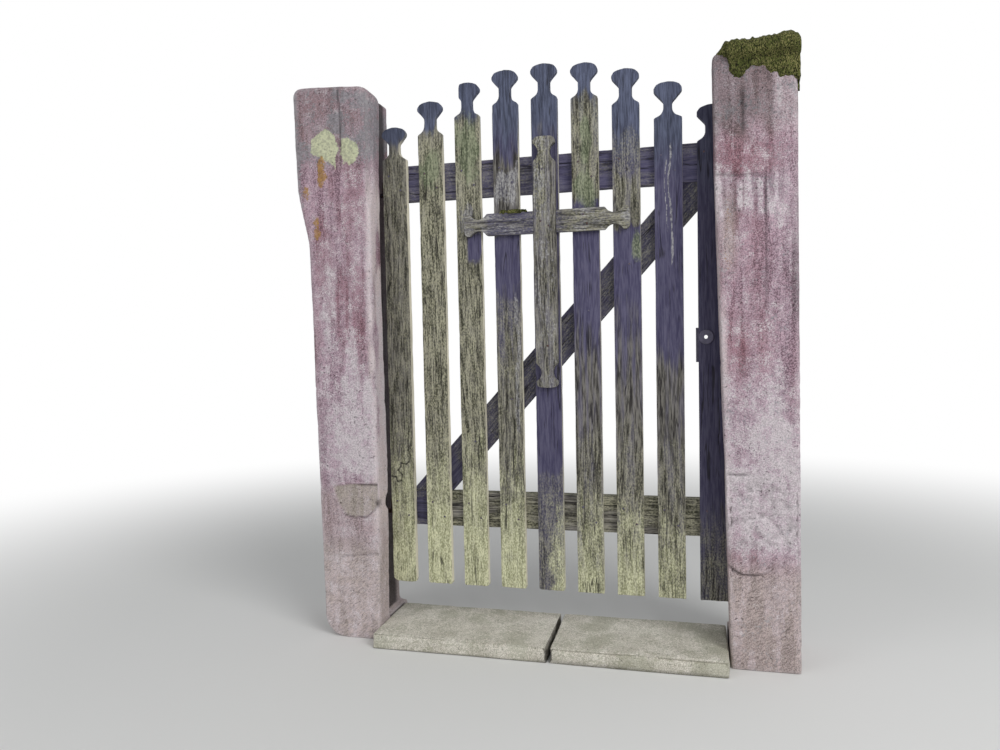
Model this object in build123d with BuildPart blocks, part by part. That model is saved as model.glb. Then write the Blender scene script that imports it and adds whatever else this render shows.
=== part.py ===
from build123d import *
import os
from math import atan2, sin, sqrt

# Wooden picket gate between two hewn sandstone posts, in millimetres.
# +X runs along the gateway from the hinge post to the latch post, +Y into the garden, +Z up.
# The origin lies on the foot of the hinge post, which is the left one as seen from the street.

# Pickets
picket_count = 9
picket_width = 95
picket_thickness = 24
picket_pitch = 142
picket_foot_z = 190
middle_picket_height = 1883
arch_radius = 970
arch_shift = 15

# Head of a picket: a knob under a flat crown, its tapering underside, a straight neck, the round shoulder
crown_drop = 15
crown_corner_radius = 20
knob_height = 34
knob_corner_radius = 14
knob_taper = 29.5
neck_width = 42
neck_length = 25
neck_corner_radius = 28
shoulder_drop = 30
shoulder_corner_radius = 8

# Picket whose knob has lost its lobe on the hinge side
broken_knob_picket = 3
broken_knob_loss = 18

# Feet of the pickets: the hinge side's are worn round, the latch side's are still sawn square
worn_feet = 5
worn_foot_radius = 9
sawn_foot_radius = 2
hinge_corner_radius = 24

# Rails and brace behind the pickets
rail_height = 132
rail_thickness = 40
rail_inset = 5
rail_edge_radius = 3
bottom_rail_z = 407
top_rail_z = 1627
brace_width = 116
brace_foot_inset = 156.5
brace_head_inset = 86.5
brace_thickness = 36

# Cross on the front of the pickets
upright_width = 80
upright_thickness = 24
upright_foot_z = 929
upright_head_z = 1816
arm_height = 80
arm_thickness = 22
arm_length = 598
arm_centre_z = 1517
end_knob_length = 25
end_notch_length = 62
end_neck_width = 42
end_corner_radius = 14
end_notch_corner_radius = 6
halving_gap = 0.3

# Posts: outlines as seen from the street. The latch post laps over the leaf's free edge and reaches
# beyond it by the sizes given for its foot, for two heights between and for its head
post_depth = 290
stop_depth = 98
arris_radius = 12
rebate_gap = 7
hinge_post_height = 2048
hinge_post_foot_half = 108
hinge_post_foot_corner_width = 64
hinge_post_foot_corner_height = 80
hinge_post_outer_shaft = (-129, 1470)
hinge_post_outer_head = (-167, 1660)
hinge_post_head_reach = 178
hinge_post_head_slope = 20
hinge_post_inner_foot = 119
hinge_post_inner_low = (127, 650)
hinge_post_inner_high = (124, 1250)
hinge_post_inner_head = 138
hinge_cheek_x = 85
hinge_side_gap = 20.5
latch_post_height = 2010
latch_post_lap_foot = 2.5
latch_post_lap_low = 13.5
latch_post_low_z = 560
latch_post_lap_high = 36.5
latch_post_high_z = 1350
latch_post_lap_head = 49.5
latch_post_reach_foot = 224.5
latch_post_reach_head = 214.5
latch_swing_gap = 12
hinge_post_outer_corner_radius = 35
hinge_post_inner_corner_radius = 55
hinge_post_waist_radius = 250
latch_post_corner_radius = 22

# Broken arrises of the posts, at the height of the bottom rail
hinge_chip_z = 503
hinge_chip_radius = 42
hinge_chip_depth = 15
latch_chip_z = 479
latch_chip_radius = 26
latch_chip_depth = 12

# Sill between the posts
sill_thickness = 60
sill_overhang = 80
sill_back_y = 105
sill_joint_offset = 14
sill_joint_width = 0.5
sill_end_gap = 0.5
sill_edge_radius = 8

# Strap hinges on the backs of the rails
pin_radius = 7
pin_running_gap = 0.05
pin_cheek_distance = 27
pin_top_reach = 14
strap_thickness = 6
strap_height = 40
strap_tip_height = 26
strap_length = 560
strap_rest_gap = 0.3
shank_height = 16
shank_width = 16
shank_shoulder_radius = 11
shank_socket_depth = 60

# Lock behind the last picket, its rosette and its keep
lock_height = 118
lock_width = 100
lock_depth = 20
lock_reveal = 8
lock_centre_z = 1073
lock_edge_radius = 2
spindle_offset = 22
spindle_z = 1100
spindle_bore_radius = 6.5
rosette_radius = 25
rosette_thickness = 4
rosette_edge_bevel = 1.5
bolt_height = 28
bolt_thickness = 10
bolt_length = 60
bolt_fit_gap = 0.3
bolt_z = 1062
keep_height = 110
keep_width = 34
keep_thickness = 3
keep_slot_gap = 3
keep_slot_depth = 28

# Places that follow from the sizes above
post_front_y = -post_depth / 2
post_back_y = post_depth / 2
rebate_y = post_front_y + stop_depth
leaf_front_y = rebate_y + rebate_gap
rail_front_y = leaf_front_y + picket_thickness
rail_back_y = rail_front_y + rail_thickness
pin_x = hinge_cheek_x + pin_cheek_distance
leaf_left_x = pin_x + hinge_side_gap
first_picket_x = leaf_left_x + picket_width / 2
last_picket_x = first_picket_x + (picket_count - 1) * picket_pitch
leaf_right_x = last_picket_x + picket_width / 2
leaf_centre_x = (leaf_left_x + leaf_right_x) / 2
latch_cheek_x = leaf_right_x + latch_swing_gap
eye_radius = pin_radius + pin_running_gap + strap_thickness
pin_y = rail_back_y + eye_radius
arch_centre_x = leaf_centre_x - arch_shift
latch_post_inner_foot = leaf_right_x - latch_post_lap_foot
latch_post_inner_low = (leaf_right_x - latch_post_lap_low, latch_post_low_z)
latch_post_inner_high = (leaf_right_x - latch_post_lap_high, latch_post_high_z)
latch_post_inner_head = leaf_right_x - latch_post_lap_head
latch_post_outer_foot = leaf_right_x + latch_post_reach_foot
latch_post_outer_head = leaf_right_x + latch_post_reach_head
brace_foot_x = leaf_left_x + brace_foot_inset
brace_head_x = leaf_right_x - brace_head_inset
sill_joint_x = leaf_centre_x + sill_joint_offset
spindle_x = last_picket_x - spindle_offset


def street_plane(y, x=0, z=0):
    """Upright plane at depth y, drawn as seen from the street: its normal points to the viewer."""
    return Plane(origin=(x, y, z), x_dir=(1, 0, 0), z_dir=(0, -1, 0))


def level_plane(z, x=0, y=0):
    return Plane(origin=(x, y, z), x_dir=(1, 0, 0), z_dir=(0, 0, 1))


def arch_drop(x):
    """How far the arc over the pickets has fallen at x from its highest point."""
    return arch_radius - sqrt(arch_radius**2 - (x - arch_centre_x) ** 2)


os.makedirs("parts", exist_ok=True)

# Pickets: half of each outline is drawn and mirrored, with the foot of the board at zero
for number in range(1, picket_count + 1):
    picket_x = first_picket_x + (number - 1) * picket_pitch
    height = middle_picket_height - arch_drop(picket_x)
    half = picket_width / 2
    knob_z = height - knob_height
    neck_top_z = knob_z - knob_taper
    neck_foot_z = neck_top_z - neck_length
    shoulder_z = neck_foot_z - shoulder_drop
    foot_radius = worn_foot_radius if number <= worn_feet else sawn_foot_radius
    with BuildPart() as picket:
        with BuildSketch(street_plane(rail_front_y, picket_x, picket_foot_z)) as outline:
            with BuildLine():
                Line((0, 0), (half, 0))
                Line((half, 0), (half, shoulder_z))
                TangentArc((neck_width / 2, neck_foot_z), (half, shoulder_z), tangent=(0, -1))
                Line((neck_width / 2, neck_foot_z), (neck_width / 2, neck_top_z))
                Line((neck_width / 2, neck_top_z), (half, knob_z))
                Line((half, knob_z), (half, height - crown_drop))
                # The crown is one flat arc over the whole width of the board
                RadiusArc(
                    (half, height - crown_drop),
                    (0, height),
                    -(half**2 + crown_drop**2) / (2 * crown_drop),
                )
                mirror(about=Plane.YZ)
            make_face()
            corners = outline.vertices().group_by(Axis.Y)
            if number == 1:
                fillet(corners[0].sort_by(Axis.X)[0], hinge_corner_radius)
                fillet(outline.vertices().group_by(Axis.Y)[0].sort_by(Axis.X)[-1], foot_radius)
            else:
                fillet(corners[0], foot_radius)
            for corner_x, corner_z, corner_radius in (
                (half, height - crown_drop, crown_corner_radius),
                (half, knob_z, knob_corner_radius),
                (neck_width / 2, neck_top_z, neck_corner_radius),
                (half, shoulder_z, shoulder_corner_radius),
            ):
                for corner in ((-corner_x, corner_z), (corner_x, corner_z)):
                    fillet(outline.vertices().sort_by_distance(corner)[0], corner_radius)
            if number == broken_knob_picket:
                with Locations((-half, height)):
                    Rectangle(
                        broken_knob_loss,
                        height - neck_top_z,
                        align=(Align.MIN, Align.MAX),
                        mode=Mode.SUBTRACT,
                    )
        extrude(amount=picket_thickness)
        if number == picket_count:
            with BuildSketch(street_plane(rail_front_y, spindle_x, spindle_z)):
                Circle(spindle_bore_radius)
            extrude(amount=picket_thickness, mode=Mode.SUBTRACT)
    picket.part.label = f"picket_{number}"
    export_step(picket.part, f"parts/picket_{number}.step")

# Rails
rail_length = leaf_right_x - leaf_left_x - 2 * rail_inset
rail_centres = {"bottom_rail": bottom_rail_z + rail_height / 2, "top_rail": top_rail_z + rail_height / 2}
for rail_name, rail_centre_z in rail_centres.items():
    with BuildPart() as rail:
        with BuildSketch(street_plane(rail_back_y, leaf_centre_x, rail_centre_z)):
            Rectangle(rail_length, rail_height)
        extrude(amount=rail_thickness)
        fillet(rail.edges().filter_by(Axis.X), rail_edge_radius)
    rail.part.label = rail_name
    export_step(rail.part, f"parts/{rail_name}.step")

# Brace: its ends are cut level, to stand on the bottom rail and to carry the top rail
brace_foot_z = bottom_rail_z + rail_height
brace_rise = top_rail_z - brace_foot_z
brace_run = brace_head_x - brace_foot_x
brace_half_cut = brace_width / sin(atan2(brace_rise, brace_run)) / 2
with BuildPart() as brace:
    with BuildSketch(street_plane(rail_front_y + brace_thickness)):
        with BuildLine():
            Polyline(
                (brace_foot_x - brace_half_cut, brace_foot_z),
                (brace_foot_x + brace_half_cut, brace_foot_z),
                (brace_head_x + brace_half_cut, top_rail_z),
                (brace_head_x - brace_half_cut, top_rail_z),
                close=True,
            )
        make_face()
    extrude(amount=brace_thickness)
brace.part.label = "brace"
export_step(brace.part, "parts/brace.step")


def knobbed_board(length, width):
    """Outline of a board lying along X, with a knob, notches and a neck at each end."""
    half_length = length / 2
    half = width / 2
    knob_x = half_length - end_knob_length
    body_x = knob_x - end_notch_length
    with BuildSketch() as board:
        with BuildLine():
            Line((0, half), (body_x, half))
            ThreePointArc((body_x, half), ((body_x + knob_x) / 2, end_neck_width / 2), (knob_x, half))
            Line((knob_x, half), (half_length, half))
            Line((half_length, half), (half_length, 0))
            mirror(about=Plane.YZ)
            mirror(about=Plane.XZ)
        make_face()
        corners = board.vertices().group_by(Axis.X)
        fillet(corners[1] + corners[2] + corners[-3] + corners[-2], end_notch_corner_radius)
        corners = board.vertices().group_by(Axis.X)
        fillet(corners[0] + corners[-1], end_corner_radius)
    return board.sketch


# Cross: the arm loses its front half where they cross, the upright its back half
halving_depth = arm_thickness / 2
arm_outline = knobbed_board(arm_length, arm_height)
with BuildPart() as arm:
    with BuildSketch(street_plane(leaf_front_y, leaf_centre_x, arm_centre_z)):
        add(arm_outline)
    extrude(amount=arm_thickness)
    with BuildSketch(street_plane(leaf_front_y - halving_depth, leaf_centre_x, arm_centre_z)):
        Rectangle(upright_width + 2 * halving_gap, arm_height)
    extrude(amount=arm_thickness, mode=Mode.SUBTRACT)
arm.part.label = "cross_arm"
export_step(arm.part, "parts/cross_arm.step")

upright_outline = knobbed_board(upright_head_z - upright_foot_z, upright_width)
upright_centre_z = (upright_head_z + upright_foot_z) / 2
upright_plane = Plane(
    origin=(leaf_centre_x, leaf_front_y, upright_centre_z), x_dir=(0, 0, 1), z_dir=(0, -1, 0)
)
with BuildPart() as upright:
    with BuildSketch(upright_plane):
        add(upright_outline)
    extrude(amount=upright_thickness)
    with BuildSketch(street_plane(leaf_front_y, leaf_centre_x, arm_centre_z)):
        Rectangle(upright_width, arm_height + 2 * halving_gap)
    extrude(amount=halving_depth, mode=Mode.SUBTRACT)
upright.part.label = "cross_upright"
export_step(upright.part, "parts/cross_upright.step")

# Places shared by the hinges and the lock
strap_centres = {"lower": rail_centres["bottom_rail"], "upper": rail_centres["top_rail"]}
shank_drop = strap_height / 2 + strap_rest_gap + shank_height
shank_heights = {name: centre_z - shank_drop for name, centre_z in strap_centres.items()}
lock_left_x = leaf_right_x - picket_width - lock_reveal
lock_centre_x = lock_left_x + lock_width / 2
lock_right_x = lock_left_x + lock_width
bolt_y = rail_front_y + lock_depth / 2

# Hinge post: the outline is hewn, with a head that swells outwards and a foot whose outer corner is
# worn round; the cheek of the rebate is dressed plumb
outer_lean = (hinge_post_outer_shaft[0] + hinge_post_foot_half) / hinge_post_outer_shaft[1]
foot_corner_top = (
    -hinge_post_foot_half + outer_lean * hinge_post_foot_corner_height,
    hinge_post_foot_corner_height,
)
foot_corner_end = (-hinge_post_foot_half + hinge_post_foot_corner_width, 0)
outer_head_corner = (-hinge_post_head_reach, hinge_post_height)
inner_head_corner = (hinge_post_inner_head, hinge_post_height - hinge_post_head_slope)
with BuildPart() as hinge_post:
    with BuildSketch(street_plane(post_back_y)) as hinge_outline:
        with BuildLine():
            TangentArc(foot_corner_top, foot_corner_end, tangent=(-outer_lean, -1))
            Line(foot_corner_end, (hinge_post_inner_foot, 0))
            Line((hinge_post_inner_foot, 0), (hinge_post_inner_foot, sill_thickness))
            Spline(
                (hinge_post_inner_foot, sill_thickness),
                hinge_post_inner_low,
                hinge_post_inner_high,
                inner_head_corner,
            )
            Polyline(
                inner_head_corner,
                outer_head_corner,
                hinge_post_outer_head,
                hinge_post_outer_shaft,
                foot_corner_top,
            )
        make_face()
        for corner, corner_radius in (
            (inner_head_corner, hinge_post_inner_corner_radius),
            (outer_head_corner, hinge_post_outer_corner_radius),
            (hinge_post_outer_head, hinge_post_waist_radius),
            (hinge_post_outer_shaft, hinge_post_waist_radius),
        ):
            fillet(hinge_outline.vertices().sort_by_distance(corner)[0], corner_radius)
    extrude(amount=post_depth)
    front_edges = hinge_post.faces().sort_by(Axis.Y)[0].edges()
    fillet(front_edges.filter_by_position(Axis.Z, sill_thickness, hinge_post_height), arris_radius)
    # Rebate for the leaf, from the sill upwards
    with BuildSketch(level_plane(sill_thickness)):
        with BuildLine():
            Polyline(
                (hinge_cheek_x, rebate_y),
                (hinge_cheek_x, post_back_y),
                (hinge_cheek_x + picket_pitch, post_back_y),
                (hinge_cheek_x + picket_pitch, rebate_y),
                close=True,
            )
        make_face()
    extrude(amount=hinge_post_height, mode=Mode.SUBTRACT)
    # Sockets of the two pintles in the cheek
    for socket_z in shank_heights.values():
        with BuildSketch(level_plane(socket_z, hinge_cheek_x - shank_socket_depth, pin_y)):
            Rectangle(shank_socket_depth, shank_width, align=(Align.MIN, Align.CENTER))
        extrude(amount=shank_height, mode=Mode.SUBTRACT)
    # Arris broken away beside the bottom rail
    hinge_chip_x = hinge_post_inner_low[0] - hinge_chip_depth + hinge_chip_radius
    with Locations((hinge_chip_x, rebate_y, hinge_chip_z)):
        Sphere(hinge_chip_radius, mode=Mode.SUBTRACT)
hinge_post.part.label = "left_post"
export_step(hinge_post.part, "parts/left_post.step")

# Latch post: leans into the opening, its cheek is plumb and clears the swinging leaf
with BuildPart() as latch_post:
    with BuildSketch(street_plane(post_back_y)) as latch_outline:
        with BuildLine():
            Line((latch_post_inner_foot, 0), (latch_post_outer_foot, 0))
            Line((latch_post_outer_foot, 0), (latch_post_outer_head, latch_post_height))
            Line((latch_post_outer_head, latch_post_height), (latch_post_inner_head, latch_post_height))
            Spline(
                (latch_post_inner_head, latch_post_height),
                latch_post_inner_high,
                latch_post_inner_low,
                (latch_post_inner_foot, sill_thickness),
            )
            Line((latch_post_inner_foot, sill_thickness), (latch_post_inner_foot, 0))
        make_face()
        fillet(latch_outline.vertices().group_by(Axis.Y)[-1], latch_post_corner_radius)
    extrude(amount=post_depth)
    front_edges = latch_post.faces().sort_by(Axis.Y)[0].edges()
    fillet(front_edges.filter_by_position(Axis.Z, sill_thickness, latch_post_height), arris_radius)
    with BuildSketch(level_plane(sill_thickness)):
        with BuildLine():
            Polyline(
                (latch_cheek_x, rebate_y),
                (latch_cheek_x, post_back_y),
                (latch_cheek_x - picket_pitch, post_back_y),
                (latch_cheek_x - picket_pitch, rebate_y),
                close=True,
            )
        make_face()
    extrude(amount=latch_post_height, mode=Mode.SUBTRACT)
    # Bed of the keep plate, and behind it the pocket that takes the bolt
    with BuildSketch(Plane(origin=(latch_cheek_x, bolt_y, bolt_z), x_dir=(0, 1, 0), z_dir=(1, 0, 0))):
        Rectangle(keep_width, keep_height)
    extrude(amount=keep_thickness, mode=Mode.SUBTRACT)
    with BuildSketch(Plane(origin=(latch_cheek_x, bolt_y, bolt_z), x_dir=(0, 1, 0), z_dir=(1, 0, 0))):
        Rectangle(bolt_thickness + 2 * keep_slot_gap, bolt_height + 2 * keep_slot_gap)
    extrude(amount=keep_slot_depth, mode=Mode.SUBTRACT)
    latch_chip_x = latch_post_inner_low[0] + latch_chip_depth - latch_chip_radius
    with Locations((latch_chip_x, post_front_y, latch_chip_z)):
        Sphere(latch_chip_radius, mode=Mode.SUBTRACT)
latch_post.part.label = "right_post"
export_step(latch_post.part, "parts/right_post.step")

# Keep plate, flush with the cheek
with BuildPart() as keep:
    with BuildSketch(Plane(origin=(latch_cheek_x, bolt_y, bolt_z), x_dir=(0, 1, 0), z_dir=(1, 0, 0))):
        Rectangle(keep_width, keep_height)
        Rectangle(
            bolt_thickness + 2 * keep_slot_gap, bolt_height + 2 * keep_slot_gap, mode=Mode.SUBTRACT
        )
    extrude(amount=keep_thickness)
keep.part.label = "keep_plate"
export_step(keep.part, "parts/keep_plate.step")

# Sill: two stones that fill the gap between the posts
sill_spans = {
    "sill_left": (hinge_post_inner_foot + sill_end_gap, sill_joint_x - sill_joint_width / 2),
    "sill_right": (sill_joint_x + sill_joint_width / 2, latch_post_inner_foot - sill_end_gap),
}
for sill_name, (sill_start_x, sill_end_x) in sill_spans.items():
    with BuildPart() as sill:
        with BuildSketch(level_plane(0, sill_start_x, post_front_y - sill_overhang)):
            Rectangle(
                sill_end_x - sill_start_x,
                sill_back_y - post_front_y + sill_overhang,
                align=(Align.MIN, Align.MIN),
            )
        extrude(amount=sill_thickness)
        fillet(sill.faces().sort_by(Axis.Z)[-1].edges().sort_by(Axis.Y)[0], sill_edge_radius)
    sill.part.label = sill_name
    export_step(sill.part, f"parts/{sill_name}.step")

# Strap hinges: a tapered bar on the rail's back, its end rolled into an eye round the pin
for strap_name, strap_centre_z in strap_centres.items():
    with BuildPart() as strap:
        with BuildSketch(street_plane(rail_back_y + strap_thickness, pin_x, strap_centre_z)):
            with BuildLine():
                tip_x = strap_length - strap_tip_height / 2
                Line((0, -strap_height / 2), (0, strap_height / 2))
                Line((0, strap_height / 2), (tip_x, strap_tip_height / 2))
                ThreePointArc(
                    (tip_x, strap_tip_height / 2), (strap_length, 0), (tip_x, -strap_tip_height / 2)
                )
                Line((tip_x, -strap_tip_height / 2), (0, -strap_height / 2))
            make_face()
        extrude(amount=strap_thickness)
        with BuildSketch(level_plane(strap_centre_z - strap_height / 2, pin_x, pin_y)):
            Circle(eye_radius)
        extrude(amount=strap_height)
        with BuildSketch(level_plane(strap_centre_z - strap_height / 2, pin_x, pin_y)):
            Circle(pin_radius + pin_running_gap)
        extrude(amount=strap_height, mode=Mode.SUBTRACT)
    strap.part.label = f"{strap_name}_strap"
    export_step(strap.part, f"parts/{strap_name}_strap.step")

# Pintles: a square shank leaded into the cheek, with the pin standing on its rounded shoulder
for pintle_name, shank_z in shank_heights.items():
    with BuildPart() as pintle:
        with BuildSketch(level_plane(shank_z, hinge_cheek_x - shank_socket_depth, pin_y)):
            Rectangle(
                pin_x - hinge_cheek_x + shank_socket_depth,
                shank_width,
                align=(Align.MIN, Align.CENTER),
            )
        with BuildSketch(level_plane(shank_z, pin_x, pin_y)):
            Circle(shank_shoulder_radius)
        extrude(amount=shank_height)
        with BuildSketch(level_plane(shank_z + shank_height, pin_x, pin_y)):
            Circle(pin_radius)
        extrude(amount=strap_rest_gap + strap_height + pin_top_reach)
    pintle.part.label = f"{pintle_name}_pintle"
    export_step(pintle.part, f"parts/{pintle_name}_pintle.step")

# Lock case on the back of the last picket, bored for the spindle, with a mouth for its bolt
with BuildPart() as lock_case:
    with BuildSketch(street_plane(rail_front_y + lock_depth, lock_centre_x, lock_centre_z)):
        Rectangle(lock_width, lock_height)
    extrude(amount=lock_depth)
    fillet(lock_case.faces().sort_by(Axis.Y)[-1].edges(), lock_edge_radius)
    with BuildSketch(street_plane(rail_front_y + lock_depth, spindle_x, spindle_z)):
        Circle(spindle_bore_radius)
    extrude(amount=lock_depth, mode=Mode.SUBTRACT)
    with BuildSketch(Plane(origin=(lock_right_x, bolt_y, bolt_z), x_dir=(0, 1, 0), z_dir=(1, 0, 0))):
        Rectangle(bolt_thickness + 2 * bolt_fit_gap, bolt_height + 2 * bolt_fit_gap)
    extrude(amount=-bolt_length - bolt_fit_gap, mode=Mode.SUBTRACT)
lock_case.part.label = "lock_case"
export_step(lock_case.part, "parts/lock_case.step")

# Bolt, drawn back flush with the case
with BuildPart() as bolt:
    with BuildSketch(Plane(origin=(lock_right_x, bolt_y, bolt_z), x_dir=(0, 1, 0), z_dir=(1, 0, 0))):
        Rectangle(bolt_thickness, bolt_height)
    extrude(amount=-bolt_length)
bolt.part.label = "lock_bolt"
export_step(bolt.part, "parts/lock_bolt.step")

# Rosette round the spindle's hole, on the street side
with BuildPart() as rosette:
    with BuildSketch(street_plane(leaf_front_y, spindle_x, spindle_z)):
        Circle(rosette_radius)
        Circle(spindle_bore_radius, mode=Mode.SUBTRACT)
    extrude(amount=rosette_thickness)
    rim = rosette.faces().sort_by(Axis.Y)[0].edges().sort_by(SortBy.RADIUS)[-1]
    chamfer(rim, rosette_edge_bevel)
rosette.part.label = "spindle_rosette"
export_step(rosette.part, "parts/spindle_rosette.step")
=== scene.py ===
import math

import bmesh
import bpy
import numpy as np
from bpy.props import FloatProperty, FloatVectorProperty, PointerProperty
from mathutils import Matrix, Vector


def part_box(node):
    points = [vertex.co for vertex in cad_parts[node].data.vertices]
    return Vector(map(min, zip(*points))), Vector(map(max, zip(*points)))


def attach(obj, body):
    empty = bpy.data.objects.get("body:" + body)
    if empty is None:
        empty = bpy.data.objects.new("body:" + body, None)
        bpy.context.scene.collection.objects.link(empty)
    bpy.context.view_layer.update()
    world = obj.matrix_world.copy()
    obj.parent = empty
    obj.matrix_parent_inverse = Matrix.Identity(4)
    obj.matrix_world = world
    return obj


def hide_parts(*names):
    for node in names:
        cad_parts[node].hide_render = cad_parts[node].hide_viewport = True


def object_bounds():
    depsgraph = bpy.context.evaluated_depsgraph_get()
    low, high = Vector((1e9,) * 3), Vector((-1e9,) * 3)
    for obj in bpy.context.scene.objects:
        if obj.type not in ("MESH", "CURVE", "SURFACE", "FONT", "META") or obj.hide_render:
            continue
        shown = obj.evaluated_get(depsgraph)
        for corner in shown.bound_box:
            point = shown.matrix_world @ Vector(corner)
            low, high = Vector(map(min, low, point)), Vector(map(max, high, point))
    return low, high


bl_info = {
    "name": "Weathered Picket Gate",
    "version": (1, 0, 0),
    "blender": (4, 5, 0),
    "location": "View3D > Sidebar > Gate",
    "description": "Worn boards, hewn stone posts and old ironwork around a packed picket gate",
    "category": "Add Mesh",
}

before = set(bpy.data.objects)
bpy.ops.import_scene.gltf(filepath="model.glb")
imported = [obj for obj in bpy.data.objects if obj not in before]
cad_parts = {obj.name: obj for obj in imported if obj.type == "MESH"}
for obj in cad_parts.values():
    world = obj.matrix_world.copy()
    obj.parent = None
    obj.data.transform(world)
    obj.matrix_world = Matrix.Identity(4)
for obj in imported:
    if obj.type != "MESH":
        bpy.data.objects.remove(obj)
CAD_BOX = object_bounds()

MM = 0.001

# Head of a picket, in millimetres below its top: the knob with its slanting underside, the foot of the
# neck and the shoulder below its cove
CROWN_DROP = 15
CROWN_TURN_IN = 9.5
CROWN_TURN_HEIGHT = 17
KNOB_HEIGHT = 34
KNOB_SLOPE = 1.113
NECK_FOOT = 88.5
SHOULDER = 118.5

# Corners of the feet: one large, beside the hinge post, the worn ones after it and the ones still sharp
HINGE_CORNER_RADIUS = 24
WORN_FOOT_RADIUS = 9
SAWN_FOOT_RADIUS = 2
WORN_FEET = 5

# Ends of the cross
END_KNOB_LENGTH = 25
END_NOTCH_LENGTH = 62
END_NECK_HALF = 21
END_CORNER_RADIUS = 15
HALVING_GAP = 0.3

# Depth of the splits, and half the width of the cracks
SPLIT_DEPTH = 3.2
CRACK_WIDTH = 2.3

# Largest radius of a worn arris, as a share of the board's thickness
LARGEST_ARRIS = 0.42

# Radius of the hole for the handle's spindle
SPINDLE_RADIUS = 6.5

# Spacing of the mesh over a board, in millimetres: close at the arrises, wider between
ARRIS_STEPS = (0, 0.7, 1.7, 3.0, 4.8, 7.5)
COLUMN_STEP = 3.4
LAYER_STEP = 7
ROW_STEP = 12
HEAD_STEP = 2.5


def tone(code):
    """The linear red, green and blue of a colour written as six hex digits."""
    parts = [int(code[i : i + 2], 16) / 255 for i in (0, 2, 4)]
    return tuple(p / 12.92 if p <= 0.04045 else ((p + 0.055) / 1.055) ** 2.4 for p in parts)


def colour_property(name, description, code):
    return FloatVectorProperty(
        name=name, description=description, subtype="COLOR", size=3, min=0, max=1, default=tone(code)
    )


def number_property(name, description, default, unit="NONE"):
    return FloatProperty(name=name, description=description, default=default, min=0, unit=unit)


def length_property(name, description, default):
    return number_property(name, description, default, "LENGTH")


class GateTimberSettings(bpy.types.PropertyGroup):
    """Sizes and colours of the boards"""

    relief: length_property("Grain relief", "Depth to which the soft grain has weathered away", 0.0009)
    wear: length_property("Arris wear", "Radius to which the sharp arrises have worn", 0.0018)
    stain_dark: colour_property("Dark stain", "Stain left in the grain of sheltered boards", "403d58")
    stain_light: colour_property("Stain", "Stain on the ridges of sheltered boards", "5b5870")
    faded: colour_property("Faded stain", "Stain that the sun has bleached, on the heads", "545a6f")
    grey_dark: colour_property("Grey grain", "Furrows of bare weathered wood", "2f2c2c")
    grey_light: colour_property("Grey ridges", "Ridges of bare weathered wood", "98948c")
    algae_dark: colour_property("Old algae", "Algae in the furrows", "3c3d2b")
    algae_light: colour_property("Fresh algae", "Algae on the ridges", "b0ad92")
    bloom_dark: colour_property("Bloom shade", "Pale crust at the feet, in its thin places", "9fa07e")
    bloom_light: colour_property("Bloom", "Pale yellow-green crust at the feet", "dfdfba")
    bare: colour_property("Sawn side", "Pale sawn sides of the boards", "ddd7c2")


class GateStoneSettings(bpy.types.PropertyGroup):
    """Sizes and colours of the posts and the sill"""

    cell: length_property("Stone cell", "Size of the faces over the stones", 0.0057)
    wear: number_property("Arris wear", "How far the arrises are worn round", 0.6)
    rose_dark: colour_property("Rose stone shade", "Darker sandstone", "5c4450")
    rose_light: colour_property("Rose stone", "Lighter sandstone", "d4b4c2")
    pale: colour_property("Pale crust", "Whitish crust that has run down the faces", "ead8e5")
    red: colour_property("Red bed", "Red bed of the stone", "8c636c")
    earth: colour_property("Earthy foot", "Splashed earth on the feet of the posts", "c2b6ad")
    dots: colour_property("White grains", "White grains scattered over the stone", "ece4e6")
    # Pale stone along the opening: rubbed smooth at the arris, and painted light on the cheek
    rubbed: colour_property("Rubbed stone", "Stone worn smooth along the opening", "ecdedc")
    lichen_grey: colour_property("Grey lichen", "Grey lichen on the hinge post's head", "a9abb0")
    lichen_lime: colour_property("Lime lichen", "Pale yellow-green lichen", "dadeba")
    lichen_gold: colour_property("Gold lichen", "Orange lichen", "bd9148")
    sill_dark: colour_property("Sill shade", "Hollows of the sill", "bab4a6")
    sill_light: colour_property("Sill", "Worn top of the sill", "f8f3e8")


class GateIronSettings(bpy.types.PropertyGroup):
    """Sizes and colours of the ironwork"""

    nail_radius: length_property("Nail radius", "Radius of a nail's head", 0.0036)
    bolt_radius: length_property("Bolt radius", "Radius of a strap bolt's head", 0.009)
    paint: colour_property("Old paint", "Dark paint left on the iron", "4a4759")
    rust: colour_property("Rust", "Rust on the iron", "6b4a3a")
    rust_dark: colour_property("Dark rust", "Old dark rust", "3a2c29")


class GateMossSettings(bpy.types.PropertyGroup):
    """Sizes and colours of the moss"""

    post_rise: length_property("Moss on the post", "Height of the moss on the latch post", 0.038)
    arm_rise: length_property("Moss on the arm", "Height of the moss on the cross's arm", 0.011)
    shade: colour_property("Moss shade", "Moss between its tufts", "1a1c0e")
    green: colour_property("Moss", "Green tufts of moss", "5a6032")
    straw: colour_property("Dry moss", "Dry tips of moss", "8a8556")


class GateStageSettings(bpy.types.PropertyGroup):
    """Lamps and floor"""

    floor_radius: length_property("Floor radius", "Radius of the round floor", 14)
    floor: colour_property("Floor", "Colour of the floor", "e4e4e2")
    sky: number_property("Sky", "Strength of the light from all round", 0.42)
    key: number_property("Key lamp", "Power of the large lamp", 170, "POWER")
    fill: number_property("Fill lamp", "Power of the fill lamp", 40, "POWER")


# Numbers that look random and are the same at every run


def lattice(ix, iy, iz, seed):
    """A repeatable number from 0 to 1 for every whole lattice point."""
    code = (ix * 73856093) ^ (iy * 19349663) ^ (iz * 83492791) ^ (seed * 40503)
    code = code & 0xFFFFFFFF
    for _ in range(2):
        code = ((code ^ (code >> 16)) * 0x45D9F3B) & 0xFFFFFFFF
    return ((code ^ (code >> 16)) & 0xFFFF) / 0xFFFF


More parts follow.
